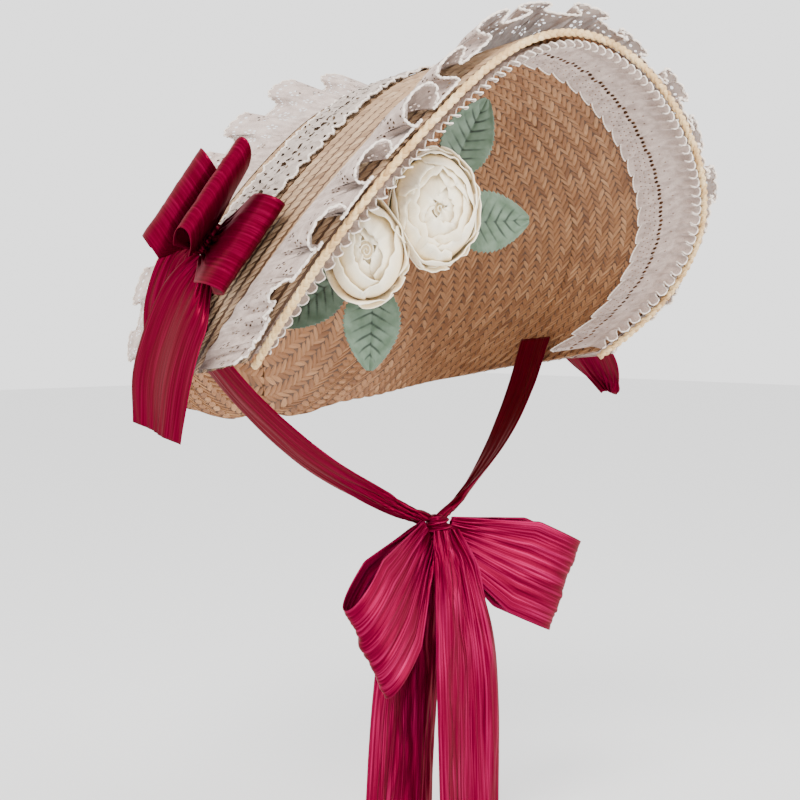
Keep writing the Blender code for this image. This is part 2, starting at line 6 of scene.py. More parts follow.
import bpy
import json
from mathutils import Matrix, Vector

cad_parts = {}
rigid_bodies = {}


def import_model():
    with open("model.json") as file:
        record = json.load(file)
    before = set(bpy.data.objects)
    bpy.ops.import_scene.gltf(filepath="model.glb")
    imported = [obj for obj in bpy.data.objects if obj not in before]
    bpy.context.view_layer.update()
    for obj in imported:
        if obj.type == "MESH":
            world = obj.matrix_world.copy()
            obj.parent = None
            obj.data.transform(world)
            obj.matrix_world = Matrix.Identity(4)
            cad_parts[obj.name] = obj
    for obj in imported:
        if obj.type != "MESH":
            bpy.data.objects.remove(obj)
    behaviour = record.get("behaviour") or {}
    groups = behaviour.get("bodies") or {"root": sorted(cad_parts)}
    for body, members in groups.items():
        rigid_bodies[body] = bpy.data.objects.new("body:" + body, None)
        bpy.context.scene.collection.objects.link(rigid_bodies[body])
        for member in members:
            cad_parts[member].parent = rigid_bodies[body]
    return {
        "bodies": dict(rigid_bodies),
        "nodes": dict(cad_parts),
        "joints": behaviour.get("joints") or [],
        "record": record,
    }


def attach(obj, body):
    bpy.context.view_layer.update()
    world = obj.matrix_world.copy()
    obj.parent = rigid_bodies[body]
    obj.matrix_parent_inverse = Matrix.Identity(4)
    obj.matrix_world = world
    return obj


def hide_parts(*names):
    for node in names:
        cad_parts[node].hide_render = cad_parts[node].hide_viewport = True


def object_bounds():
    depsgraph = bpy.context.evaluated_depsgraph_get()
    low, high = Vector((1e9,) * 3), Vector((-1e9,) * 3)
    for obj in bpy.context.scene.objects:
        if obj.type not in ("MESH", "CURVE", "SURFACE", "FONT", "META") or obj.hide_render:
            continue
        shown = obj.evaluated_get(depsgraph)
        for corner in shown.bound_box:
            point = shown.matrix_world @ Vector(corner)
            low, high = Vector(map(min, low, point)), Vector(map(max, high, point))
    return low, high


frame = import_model()
cad_box = [list(corner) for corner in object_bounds()]

import json
from collections import namedtuple

import bpy
import numpy as np
from mathutils import Vector
from mathutils.geometry import delaunay_2d_cdt

MM = 0.001
TINY = 1e-6

# Hood, as in the part's source
HOOD_LENGTH = 0.306
RIM_WIDTH = 0.324
RIM_RISE = 0.157
RIM_FALL = 0.150
RIM_SWEEP = 0.118
BACK_DROP = 0.148
SEAT_BACK = 0.170
BRIM_DEPTH = 0.110
STRAW_WALL = 0.002
ROW_PITCH = 0.011
ROW_RELIEF = 0.0016
BRAID_DIAMETER = 0.007
GAP = 0.0003
SHOULDER_EASE = 0.06
NAPE_SHARE = 1.0
SWEEP_POWER = 2.4
LOW_SHARE = 0.25

Section = namedtuple("Section", "along ridge width rise fall sweep end")
HOOD_SECTIONS = (
    Section(0.000, 0.00, 1.000, 1.000, 1.00, 1.00, 0.583),
    Section(0.147, 0.04, 0.994, 0.994, 1.00, 0.97, 0.589),
    Section(0.294, 0.08, 0.975, 0.981, 0.99, 0.91, 0.594),
    Section(0.441, 0.12, 0.944, 0.962, 0.97, 0.80, 0.606),
    Section(0.588, 0.17, 0.885, 0.924, 0.90, 0.62, 0.628),
    Section(0.735, 0.24, 0.800, 0.847, 0.80, 0.38, 0.678),
    Section(0.866, 0.35, 0.665, 0.713, 0.66, 0.15, 0.778),
    Section(0.964, 0.57, 0.450, 0.497, 0.45, 0.03, 1.000),
    Section(1.000, 1.00, 0.000, 0.000, 0.00, 0.00, 1.000),
)
LAST_STATION = len(HOOD_SECTIONS) - 1

# Camera: the photograph's angle, at 0.6 mm a pixel on an 800 pixel frame
VIEW_BACK = Vector((-0.668, -0.742, 0.052)).normalized()
VIEW_TARGET = Vector((-0.08525, -0.10866, -0.19440))
VIEW_DISTANCE = 1.150
VIEW_WIDTH = 0.480
SENSOR = 36.0


def make_camera():
    data = bpy.data.cameras.new("photo_camera")
    data.sensor_width = SENSOR
    data.lens = SENSOR * VIEW_DISTANCE / VIEW_WIDTH
    camera = link("photo_camera", data)
    camera.location = VIEW_TARGET + VIEW_BACK * VIEW_DISTANCE
    camera.rotation_euler = VIEW_BACK.to_track_quat("Z", "Y").to_euler()
    bpy.context.scene.camera = camera


def table_at(rows, place):
    """Rows of a table at fractional row numbers, along smooth curves through its columns."""
    rows = np.asarray(rows, float)
    place = np.asarray(place, float)
    last = len(rows) - 1
    index = np.arange(last + 1)
    before = np.maximum(index - 1, 0)
    after = np.minimum(index + 1, last)
    slope = (rows[after] - rows[before]) / (after - before)[:, None]
    low = np.clip(np.floor(place).astype(int), 0, last - 1)
    part = (place - low)[..., None]
    return (
        (2 * part**3 - 3 * part**2 + 1) * rows[low]
        + (part**3 - 2 * part**2 + part) * slope[low]
        + (3 * part**2 - 2 * part**3) * rows[low + 1]
        + (part**3 - part**2) * slope[low + 1]
    )


def hood_middle(station, share):
    """Points half way through the straw, before the hood is set on its seat."""
    station, share = np.broadcast_arrays(np.asarray(station, float), np.asarray(share, float))
    along, ridge, width, rise, fall, sweep, end = np.moveaxis(table_at(HOOD_SECTIONS, station), -1, 0)
    turn = np.pi * share * np.minimum(end, NAPE_SHARE)
    ease = 1 - SHOULDER_EASE * np.sin(2 * turn) ** 2
    level = np.cos(turn) * ease
    rise = rise * RIM_RISE
    fall = fall * RIM_FALL
    drop = rise - level * np.where(level > 0, rise, fall)
    full = np.maximum(rise + LOW_SHARE * fall, TINY)
    back = along * HOOD_LENGTH + sweep * RIM_SWEEP * np.maximum(drop / full, 0) ** SWEEP_POWER
    across = width * RIM_WIDTH / 2 * np.sin(turn) * ease
    return np.stack([across, back, -ridge * BACK_DROP - drop], -1)


STATIONS = np.linspace(0, LAST_STATION, 801)
STATION_BACKS = table_at(HOOD_SECTIONS, STATIONS)[:, 0] * HOOD_LENGTH


def station_of(back):
    return np.interp(back, STATION_BACKS, STATIONS)


SEAT = hood_middle(station_of(SEAT_BACK), 0.0) - np.array([0, 0, STRAW_WALL / 2])
MIDDLE = np.array([0, SEAT_BACK, -RIM_RISE]) - SEAT


def unit(vectors):
    return vectors / np.maximum(np.linalg.norm(vectors, axis=-1, keepdims=True), TINY)


def hood_frame(station, share):
    """Points, directions round the hood towards +X, directions backwards, outward normals."""
    station, share = np.broadcast_arrays(np.asarray(station, float), np.asarray(share, float))
    step = 0.004
    near = np.clip(station, step, LAST_STATION - step)
    side = np.clip(share, step - 1, 1 - step)
    point = hood_middle(station, share) - SEAT
    round_way = unit(hood_middle(near, side + step) - hood_middle(near, side - step))
    back_way = unit(hood_middle(near + step, side) - hood_middle(near - step, side))
    normal = unit(np.cross(round_way, back_way))
    back_way = np.cross(normal, round_way)
    inward = (normal * (point - MIDDLE)).sum(-1, keepdims=True) < 0
    return point, round_way, back_way, np.where(inward, -normal, normal)


def on_station(station, share, lift=0.0, ahead=0.0, around=0.0):
    """Points off the hood: lift along the normal, ahead towards the rim, around along it."""
    point, round_way, back_way, normal = hood_frame(station, share)
    lift, ahead, around = (np.asarray(value, float)[..., None] for value in (lift, ahead, around))
    return point + normal * lift - back_way * ahead + round_way * around


def on_hood(back, share, lift=0.0, ahead=0.0, around=0.0):
    """The same, at a depth behind the rim's top; a depth below 0 lies ahead of the rim."""
    back = np.asarray(back, float)
    ahead = ahead - np.minimum(back, 0)
    return on_station(station_of(np.maximum(back, 0)), share, lift, ahead, around)


def noise(x, y, seed):
    """Smooth noise from -1 to 1 with cells of one unit."""
    x, y = np.broadcast_arrays(np.asarray(x, float), np.asarray(y, float))
    cell_x, cell_y = np.floor(x).astype(np.int64), np.floor(y).astype(np.int64)
    ease_x, ease_y = x - cell_x, y - cell_y
    ease_x, ease_y = ease_x**2 * (3 - 2 * ease_x), ease_y**2 * (3 - 2 * ease_y)

    def corner(dx, dy):
        mixed = ((cell_x + dx) * 73856093) ^ ((cell_y + dy) * 19349663) ^ (seed * 83492791)
        mixed = (mixed & 0xFFFFFF) * 1103515245 + 12345
        mixed = ((mixed >> 8) ^ mixed) * 69069 + 1
        return ((mixed >> 7) & 0xFFFF) / 32767.5 - 1

    low = corner(0, 0) * (1 - ease_x) + corner(1, 0) * ease_x
    high = corner(0, 1) * (1 - ease_x) + corner(1, 1) * ease_x
    return low * (1 - ease_y) + high * ease_y


# Meshes

def link(name, data):
    """A new object in the scene."""
    item = bpy.data.objects.new(name, data)
    bpy.context.scene.collection.objects.link(item)
    return item


def grid_faces(columns, rows):
    """Quads over a grid of (columns + 1) x (rows + 1) points."""
    i, j = np.meshgrid(np.arange(columns), np.arange(rows), indexing="ij")
    first = (i * (rows + 1) + j).ravel()
    return np.stack([first, first + rows + 1, first + rows + 2, first + 1], -1)


def add_piece(name, points, faces, material, nodes=(), tint=None, flat=None, wall=0.0):
    """A mesh piece on the frame. tint is a number at each point, flat its place in the flat cloth."""
    mesh = bpy.data.meshes.new(name)
    mesh.from_pydata(np.asarray(points).reshape(-1, 3).tolist(), [], [list(map(int, f)) for f in faces])
    if tint is not None:
        layer = mesh.attributes.new("tint", "FLOAT", "POINT")
        layer.data.foreach_set("value", np.asarray(tint, np.float32).ravel())
    if flat is not None:
        loops = np.empty(len(mesh.loops), np.int32)
        mesh.loops.foreach_get("vertex_index", loops)
        layer = mesh.uv_layers.new(name="flat")
        layer.data.foreach_set("uv", np.asarray(flat, np.float32).reshape(-1, 2)[loops].ravel())
    mesh.shade_smooth()
    mesh.materials.append(material)
    item = link(name, mesh)
    if wall:
        solidify = item.modifiers.new("wall", "SOLIDIFY")
        solidify.thickness = wall
        solidify.offset = 0.0
    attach(item, "root")
    if nodes:
        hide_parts(*nodes)
    return item


def tube(path, radius, sides=6, closed=False):
    """Points and faces of a tube along a path; radius is one number or one for each point."""
    path = np.asarray(path, float)
    count = len(path)
    radius = np.broadcast_to(radius, count)
    ahead = np.roll(path, -1, 0) - np.roll(path, 1, 0)
    if not closed:
        ahead[0], ahead[-1] = path[1] - path[0], path[-1] - path[-2]
    ahead = unit(ahead)
    side = np.empty_like(path)
    side[0] = unit(np.cross(ahead[0], [0.31, 0.17, 0.93]))
    for i in range(1, count):
        side[i] = unit(side[i - 1] - ahead[i] * (side[i - 1] @ ahead[i]))
    up = np.cross(ahead, side)
    turn = np.linspace(0, 2 * np.pi, sides, endpoint=False)
    ring = np.cos(turn)[None, :, None] * side[:, None] + np.sin(turn)[None, :, None] * up[:, None]
    points = (path[:, None] + ring * radius[:, None, None]).reshape(-1, 3)
    faces = []
    for i in range(count if closed else count - 1):
        here, there = i * sides, (i + 1) % count * sides
        for j in range(sides):
            k = (j + 1) % sides
            faces.append((here + j, here + k, there + k, there + j))
    if not closed:
        faces.append(tuple(range(sides))[::-1])
        faces.append(tuple((count - 1) * sides + j for j in range(sides)))
    return points, faces


def join(parts):
    """One set of points, faces and tints from several (points, faces, tint)."""
    points, faces, tints = [], [], []
    start = 0
    for part_points, part_faces, tint in parts:
        points.append(part_points)
        faces.extend([tuple(int(i) + start for i in face) for face in part_faces])
        tints.append(np.broadcast_to(tint, len(part_points)))
        start += len(part_points)
    return np.concatenate(points), faces, np.concatenate(tints)


def pile(shapes):
    """One set of points, quads, tints and flat places from several."""
    starts = np.cumsum([0] + [len(shape[0]) for shape in shapes])
    points, faces, tint, flat = zip(*shapes)
    faces = [quads + start for quads, start in zip(faces, starts)]
    return tuple(np.concatenate(parts) for parts in (points, faces, tint, flat))


def lattice(columns, rows):
    """Places from 0 to 1 along and across a grid, as two tables."""
    return np.meshgrid(np.linspace(0, 1, columns + 1), np.linspace(0, 1, rows + 1), indexing="ij")


def grid_shape(points, tint, along, across):
    """A grid as points, quads, tints and flat places."""
    quads = grid_faces(points.shape[0] - 1, points.shape[1] - 1)
    return points.reshape(-1, 3), quads, tint.ravel(), np.stack([along, across], -1).reshape(-1, 2)


def surface_area(points, faces):
    a, b, c, d = (points[np.asarray(faces)[:, i]] for i in range(4))
    return float(np.linalg.norm(np.cross(c - a, d - b), axis=1).sum() / 2)


def add_sheet(name, points, material, node, tint, flat, wall):
    """A piece from a grid of points, and its area."""
    faces = grid_faces(points.shape[0] - 1, points.shape[1] - 1)
    item = add_piece(name, points, faces, material, (node,), tint, flat, wall)
    return item, surface_area(points.reshape(-1, 3), faces)


# Materials

WHITE = (1.0, 1.0, 1.0)
BLACK = (0.0, 0.0, 0.0)


def set_inputs(node, **inputs):
    for key, value in inputs.items():
        node.inputs[key.replace("_", " ")].default_value = value


def add_node(tree, kind, settings=None, **inputs):
    made = tree.nodes.new(kind)
    for key, value in (settings or {}).items():
        setattr(made, key, value)
    set_inputs(made, **inputs)
    return made


def new_material(name, **inputs):
    """A material, its tree and its shader, whose own values are set to inputs."""
    material = bpy.data.materials.new(name)
    material.use_nodes = True
    shader = material.node_tree.nodes["Principled BSDF"]
    set_inputs(shader, **inputs)
    return material, material.node_tree, shader


def ramp(tree, source, *stops):
    """A colour ramp fed by source; stops are (place, colour)."""
    made = tree.nodes.new("ShaderNodeValToRGB")
    tree.links.new(source, made.inputs["Fac"])
    while len(made.color_ramp.elements) < len(stops):
        made.color_ramp.elements.new(0.5)
    for element, (place, colour) in zip(made.color_ramp.elements, stops):
        element.position = place
        element.color = (*colour, 1.0)
    return made.outputs["Color"]


def tint_of(tree):
    return add_node(tree, "ShaderNodeAttribute", {"attribute_name": "tint"}).outputs["Fac"]


def flat_place(tree):
    return add_node(tree, "ShaderNodeUVMap", {"uv_map": "flat"}).outputs["UV"]


def stretched_noise(tree, scale, stretch=(1.0, 1.0), detail=3.0):
    """Noise over the flat cloth, whose place is in millimetres, stretched along one way."""
    mapping = add_node(tree, "ShaderNodeMapping", Scale=(*stretch, 1.0))
    tree.links.new(flat_place(tree), mapping.inputs["Vector"])
    made = add_node(tree, "ShaderNodeTexNoise", Scale=scale, Detail=detail)
    tree.links.new(mapping.outputs["Vector"], made.inputs["Vector"])
    return made.outputs["Fac"]


def mix(tree, amount, first, second, blend="MIX"):
    made = add_node(tree, "ShaderNodeMix", {"data_type": "RGBA", "blend_type": blend})
    for socket, value in ((made.inputs[0], amount), (made.inputs[6], first), (made.inputs[7], second)):
        if isinstance(value, bpy.types.NodeSocket):
            tree.links.new(value, socket)
        else:
            socket.default_value = value if isinstance(value, float) else (*value, 1.0)
    return made.outputs[2]


def paint(tree, shader, colour, height, distance, strength=1.0):
    """The shader's colour, and a bump of the given height."""
    tree.links.new(colour, shader.inputs["Base Color"])
    bump = add_node(tree, "ShaderNodeBump", Strength=strength, Distance=distance)
    tree.links.new(height, bump.inputs["Height"])
    tree.links.new(bump.outputs["Normal"], shader.inputs["Normal"])


def straw_material(name, dark, middle, light):
    material, tree, shader = new_material(name, Roughness=0.5, Specular_IOR_Level=0.4)
    colour = ramp(tree, tint_of(tree), (0.0, dark), (0.5, middle), (1.0, light))
    fibre = stretched_noise(tree, 1.0, (0.25, 3.5))
    streak = ramp(tree, fibre, (0.30, (0.62, 0.56, 0.50)), (0.62, WHITE))
    paint(tree, shader, mix(tree, 0.8, colour, streak, "MULTIPLY"), fibre, 0.25 * MM)
    return material


def lace_material(name, thread, shade, sheer):
    material, tree, shader = new_material(name, Roughness=0.85)
    net = add_node(tree, "ShaderNodeTexVoronoi", {"feature": "DISTANCE_TO_EDGE"}, Scale=1.1)
    tree.links.new(flat_place(tree), net.inputs["Vector"])
    colour = ramp(tree, stretched_noise(tree, 0.12), (0.35, shade), (0.65, thread))
    paint(tree, shader, colour, net.outputs["Distance"], -0.2 * MM, 0.7)
    opaque = ramp(tree, net.outputs["Distance"], (0.10, WHITE), (0.30, (1 - sheer,) * 3))
    tree.links.new(opaque, shader.inputs["Alpha"])
    return material


def thread_material(name, colour):
    material, tree, shader = new_material(name, Roughness=0.8)
    coordinates = tree.nodes.new("ShaderNodeTexCoord")
    twist = add_node(tree, "ShaderNodeTexNoise", Scale=900.0)
    tree.links.new(coordinates.outputs["Object"], twist.inputs["Vector"])
    shade = tuple(0.82 * c for c in colour)
    twist = twist.outputs["Fac"]
    paint(tree, shader, ramp(tree, twist, (0.3, shade), (0.7, colour)), twist, 0.2 * MM, 0.6)
    return material


def satin_material(name, dark, middle, light, wrinkle):
    """Crushed satin: dark and light streaks along the ribbon, painted shade in the creases and painted
    highlight on the crests of its bump, and a selvedge made paler with painted sheen, which the tint marks.
    """
    material, tree, shader = new_material(name, Roughness=0.36, Metallic=0.6, Specular_IOR_Level=0.25,
                                          Specular_Tint=(0.60, 0.04, 0.16, 1.0))
    crush = stretched_noise(tree, 1.0, (0.016, 0.62), 5.0)
    # The crush noise drives both colour and bump: the dark stop is painted shade in the creases, the light
    # stop painted highlight on the crests.
    colour = ramp(tree, crush, (0.32, dark), (0.50, middle), (0.66, light))
    # Painted sheen along the selvedge: the highlight colour mixed in at the ribbon's edges.
    selvedge_sheen = ramp(tree, tint_of(tree), (0.1, BLACK), (0.9, (0.5, 0.5, 0.5)))
    paint(tree, shader, mix(tree, selvedge_sheen, colour, light), crush, wrinkle, 0.7)
    return material


def petal_material(name, heart, middle, light):
    material, tree, shader = new_material(name, Roughness=0.75, Sheen_Weight=0.3, Subsurface_Weight=0.25,
                                          Subsurface_Scale=4 * MM, Subsurface_Radius=(1.0, 0.8, 0.6))
    # Darker ochre towards each petal's foot: partly the cloth's own warm tone, partly painted shade deep in
    # the bloom.
    colour = ramp(tree, tint_of(tree), (0.0, heart), (0.35, middle), (1.0, light))
    fibre = stretched_noise(tree, 0.9, (3.0, 0.35))
    streak = ramp(tree, fibre, (0.30, (0.93, 0.90, 0.86)), (0.60, WHITE))
    paint(tree, shader, mix(tree, 0.7, colour, streak, "MULTIPLY"), fibre, 0.3 * MM, 0.5)
    return material


def leaf_material(name, blade, pale, vein):
    material, tree, shader = new_material(name, Roughness=0.7, Sheen_Weight=0.2)
    green = ramp(tree, stretched_noise(tree, 0.10), (0.35, blade), (0.65, pale))
    amount = ramp(tree, tint_of(tree), (0.25, BLACK), (0.9, WHITE))
    weave = stretched_noise(tree, 2.2, detail=2.0)
    paint(tree, shader, mix(tree, amount, green, vein), weave, 0.15 * MM, 0.6)
    return material


# Straw

PLAIT_STEP = 0.0056
SPLINT_RISE = 0.0010
SPLINT_WIDTH = 1.06
SPLINT_TAPER = 0.20
SPLINT_UNEVEN = 0.06
SPLINT_MESH = (3, 3)
WALL_COLUMNS = 80
SPLINT_POINTS = (SPLINT_MESH[0] + 1) * (SPLINT_MESH[1] + 1)
Plait = namedtuple("Plait", "slant relief crown reach rise sides")

# The plait's two looks: rounded ropes outside, a flatter herringbone inside. slant is how many steps
# a splint runs along its row, reach its length across in rows, relief and rise are in metres, crown
# is the share of relief that stands up, and sides tells in how many ways the splints lean.
ROPE = Plait(2.1, 0.0030, 0.30, 0.74, 0.0016, 1)
HERRINGBONE = Plait(1.15, 0.0008, 0.75, 0.52, 0.0010, 2)


def row_along(station):
    """Shares and distances along one row of the hood."""
    share = np.linspace(-1, 1, 201)
    points = hood_middle(station, share)
    steps = np.linalg.norm(np.diff(points, axis=0), axis=1)
    return share, np.concatenate([[0], np.cumsum(steps)])


def plait_row(first, last, face, seed, look):
    """One sewn row of plait between two stations: chevrons of domed splints on one face."""
    middle = (first + last) / 2
    shares, along = row_along(middle)
    count = max(int(along[-1] / PLAIT_STEP), 3)
    step = along[-1] / count
    u = np.linspace(0, 1, SPLINT_MESH[0] + 1)[None, None, :, None]
    v = np.linspace(0, 1, SPLINT_MESH[1] + 1)[None, None, None, :]
    index = np.arange(count + 1)[:, None, None, None]
    side = np.array([-1.0, 1.0][:look.sides])[None, :, None, None]
    jitter = SPLINT_UNEVEN * noise(index * 1.7, side * 3.1 + 7, seed)
    ends = 1 - SPLINT_TAPER * u**4
    x = index + 0.25 * (side + 1) + jitter + (v - 0.5) * SPLINT_WIDTH * ends + 0.5 - u * look.slant
    off = u if look.sides == 2 else 2 * u - 1
    y = 0.5 + (side * (u * look.reach - 0.02) if look.sides == 2 else (u - 0.5) * look.reach)
    dome = 1 - (2 * v - 1) ** 2
    lift = look.relief * (look.crown - off**2 * 1.1) + look.rise * (0.35 + dome - 0.5 * v)
    lift = np.maximum(STRAW_WALL / 2 - SPLINT_RISE + lift, -STRAW_WALL * 0.12)
    x, y, lift = np.broadcast_arrays(x * step, y, lift)
    share = np.interp(x, along, shares)
    points = on_station(first + (last - first) * y, share, face * lift)
    splints = (count + 1) * look.sides
    faces = grid_faces(*SPLINT_MESH)[None] + np.arange(splints)[:, None, None] * SPLINT_POINTS
    random = noise(np.arange(splints) * 3.7, np.full(splints, seed + 0.5), seed) * 0.5 + 0.5
    tint = np.repeat(random, SPLINT_POINTS)
    flat = np.stack(np.broadcast_arrays(u * 8 + index * 5.3 + side * 2.9, v * 3.5 + index * 1.9), -1)
    return points.reshape(-1, 3), faces.reshape(-1, 4), tint, flat.reshape(-1, 2)


def make_plait(name, edges, face, seed, look, material, node):
    """Rows of plait between neighbouring stations."""
    rows = [plait_row(first, last, face, seed + number, look)
            for number, (first, last) in enumerate(zip(edges, edges[1:]))]
    points, faces, tint, flat = pile(rows)
    add_piece(name, points, faces, material, (node,), tint, flat)


def make_wall(name, first, last, rows, material):
    """The straw wall under the plait, so that no light comes through; its dark colour is painted shade, seen
    in the gaps between splints and rows.
    """
    share = np.linspace(-1, 1, WALL_COLUMNS + 1)[:, None]
    station = np.linspace(first, last, rows + 1)[None, :]
    points = on_station(station, share)
    flat = np.stack(np.broadcast_arrays(share * 250, station * 40), -1)
    tint = np.zeros(points.shape[:2])
    add_piece(name, points, grid_faces(WALL_COLUMNS, rows), material, (), tint, flat,
              STRAW_WALL / 2)


def crown_edges():
    """Stations of the crown's rows, a row apart along the ridge and down the back."""
    stations = np.linspace(float(station_of(BRIM_DEPTH)), LAST_STATION - 0.02, 400)
    ridge = hood_middle(stations, 0.0)
    along = np.concatenate([[0], np.cumsum(np.linalg.norm(np.diff(ridge, axis=0), axis=1))])
    rows = round(along[-1] / ROW_PITCH)
    return np.interp(np.linspace(0, along[-1], rows + 1), along, stations)


def make_straw(outer, inner, gap_shade):
    rows = round(BRIM_DEPTH / ROW_PITCH)
    brim = [float(station_of(BRIM_DEPTH * i / rows)) for i in range(rows + 1)]
    crown = crown_edges()
    make_plait("brim_plait_outside", brim, 1, 10, ROPE, outer, "straw_brim")
    make_plait("brim_plait_inside", brim, -1, 40, HERRINGBONE, inner, "straw_brim")
    make_plait("crown_plait_outside", crown, 1, 70, ROPE, outer, "straw_crown")
    make_plait("crown_plait_inside", crown, -1, 110, HERRINGBONE, inner, "straw_crown")
    # The walls carry painted shade for the gaps in the plait.
    make_wall("brim_shade_wall", 0.0, brim[-1], 20, gap_shade)
    make_wall("crown_shade_wall", brim[-1], LAST_STATION, 40, gap_shade)


BRAID_PERIOD = 0.0165
BRAID_STRANDS = 3
BRAID_STEPS = 14
BRAID_SIDES = 8
BRAID_SWING = 0.20 * BRAID_DIAMETER
BRAID_THICK = 0.20 * BRAID_DIAMETER


def make_rim_braid(material):
    """A flat braid of three strands along the rim's edge."""
    shares, along = row_along(0.0)
    count = int(along[-1] / BRAID_PERIOD * BRAID_STEPS)
    distance = np.linspace(0, along[-1], count + 1)
    share = np.interp(distance, along, shares)
    parts = []
    for strand in range(BRAID_STRANDS):
        turn = 2 * np.pi * (distance / BRAID_PERIOD + strand / BRAID_STRANDS)
        lift = BRAID_SWING * np.sin(turn)
        ahead = BRAID_DIAMETER / 2 + 4 * GAP + 0.15 * BRAID_DIAMETER * np.sin(2 * turn)
        path = on_station(0.0, share, lift, ahead)
        uneven = 1 + 0.25 * np.cos(2 * turn) + 0.12 * noise(distance / 0.004, strand + 0.5, 5)
        points, faces = tube(path, BRAID_THICK * uneven, BRAID_SIDES)
        tint = np.repeat(noise(distance / BRAID_PERIOD * 2, strand + 0.5, 9) * 0.5 + 0.5, BRAID_SIDES)
        parts.append((points, faces, tint))
    points, faces, tint = join(parts)
    flat = points[:, [0, 2]] / MM
    add_piece("rim_braid_strands", points, faces, material, ("rim_braid",), tint, flat)


# Lace

LACE_WALL = 0.0010
LACE_END = 0.985
LOW_FLATTENING = 0.85
EDGE_STEP = 1.6
CORD_STEP = 0.9
EDGE_ROOM = 0.9
HOLE_ROOM = 1.3
CORD_TWIST = 2.7
Hole = namedtuple("Hole", "along across radius")

# The worked rim of a hole: rings this far beyond its radius, raised this far.
HOLE_RINGS = ((0.0, 0.0), (0.35, 0.35), (0.75, 0.0))


def no_base(along):
    """The near outline of lace whose base is straight."""
    return 0.0 * along


def lace_tile(period, width, holes, edge, base, mesh_size, ring=8):
    """Points (along, across, lift) and triangles of one repeat of lace, in millimetres.

    edge and base give the far and near outline at a place along the repeat.
    """
    steps = max(round(period / EDGE_STEP), 4)
    along = np.linspace(0, period, steps + 1)
    low, high = base(along), edge(along)
    rows = max(round(width / mesh_size), 3)
    sides = np.linspace(low[0], high[0], rows + 1)[1:-1]
    points = [(a, b, 0.0) for a, b in zip(along, low)]
    points += [(period, b, 0.0) for b in sides]
    points += [(a, b, 0.0) for a, b in zip(along[::-1], high[::-1])]
    points += [(0.0, b, 0.0) for b in sides[::-1]]
    border = len(points)
    edges = [(i, (i + 1) % border) for i in range(border)]
    turn = np.linspace(0, 2 * np.pi, ring, endpoint=False)
    for hole in holes:
        for grow, lift in HOLE_RINGS:
            start = len(points)
            reach = hole.radius + grow
            points += [(hole.along + reach * c, hole.across + reach * s, lift)
                       for c, s in zip(np.cos(turn), np.sin(turn))]
            edges += [(start + i, start + (i + 1) % ring) for i in range(ring)]
    for i in range(1, round(period / mesh_size)):
        for b in np.arange(mesh_size / 2, width, mesh_size):
            a = i * period / round(period / mesh_size)
            near = edge(np.array(a)) - EDGE_ROOM > b > base(np.array(a)) + EDGE_ROOM
            clear = all(np.hypot(a - h.along, b - h.across) > h.radius + HOLE_ROOM for h in holes)
            if near and clear:
                points.append((a, float(b), 0.0))
    flat = [Vector(point[:2]) for point in points]
    found, _, triangles, origin, _, _ = delaunay_2d_cdt(flat, edges, [], 0, 1e-4)
    made = np.array([(v.x, v.y) for v in found])
    lifts = np.array([points[o[0]][2] if o else 0.0 for o in origin])
    kept = []
    for triangle in triangles:
        a, b = made[list(triangle)].mean(0)
        inside = base(np.array(a)) - 1e-3 < b < edge(np.array(a)) + 1e-3
        if inside and all(np.hypot(a - h.along, b - h.across) > h.radius * 0.93 for h in holes):
            kept.append(tuple(triangle))
    return np.column_stack([made, lifts]), np.array(kept)


def repeat_tile(tile, period, count):
    """The tile laid count times along the lace, with its side points shared."""
    points, faces = tile
    every = np.concatenate([points + [period * i, 0, 0] for i in range(count)])
    indexes = np.concatenate([faces + len(points) * i for i in range(count)])
    keys = np.round(every[:, :2] * 200).astype(np.int64)
    _, first, back = np.unique(keys, axis=0, return_index=True, return_inverse=True)
    return every[first], back.ravel()[indexes]


def lace_normals(place, along, across):
    step = 0.2
    return unit(np.cross(place(along + step, across) - place(along - step, across),
                         place(along, across + step) - place(along, across - step)))


def cloth_length(place, total, width):
    """The lace's length as made: the mean way along the made sheet over its width, not a cut length."""
    walk = np.linspace(0, total, 4000)
    ways = [place(walk, a + 0 * walk) for a in np.linspace(0, width, 9)]
    return float(np.mean([np.linalg.norm(np.diff(way, axis=0), axis=1).sum() for way in ways]))


def make_lace(name, node, wide, tile, period, count, place, cords, materials, length=None):
    """Lace laid by place(along, across), in millimetres of its pattern, with a cord along its edges.

    A gathered lace's pattern runs further than the lace as made, and is squeezed lengthwise into it.
    """
    cloth, thread = materials
    points, faces = repeat_tile(tile, period, count)
    along, across, lift = points.T
    surface = place(along, across) + lace_normals(place, along, across) * (lift * MM)[:, None]
    lace = add_piece(name, surface, faces, cloth, (node,), None, points[:, :2])
    walk = np.arange(0, period * count, CORD_STEP)
    twist = 1 + 0.35 * np.sin(walk * 2 * np.pi / CORD_TWIST)
    parts = [(*tube(place(walk, edge(walk % period)), radius * twist, 5), 0.5) for edge, radius in cords]
    points, faces, tint = join(parts)
    cord = add_piece(name + "_cord", points, faces, thread, (), tint)
    length = length or cloth_length(place, period * count, wide / MM)


def scallop(height, depth, period, lobes=1):
    """An edge of rounded lobes: height at their tops, depth less between them."""
    return lambda along: height - depth * (1 - np.abs(np.sin(np.pi * along * lobes / period)) ** 0.8)


def fold_count(pitch):
    half = RIM_WIDTH / 2
    length = np.pi * (half + RIM_RISE) / 2 + RIM_FALL * LOW_SHARE * 2
    return max(round(length / pitch), 4)


OUTSIDE_FACE = STRAW_WALL / 2 + ROW_RELIEF / 2 + GAP
OUTER_RUFFLE_BASE = 0.050
OUTER_RUFFLE_WIDTH = 0.046
OUTER_RUFFLE_LIFT = 0.013
OUTER_RUFFLE_FOLD = 0.0070
OUTER_RUFFLE_PITCH = 0.038
OUTER_RUFFLE_LOW = 0.010
OUTER_RUFFLE_LENGTH = 1.35
EYELET_REPEAT = 18.0
EYELET_SCALLOP = 2.1


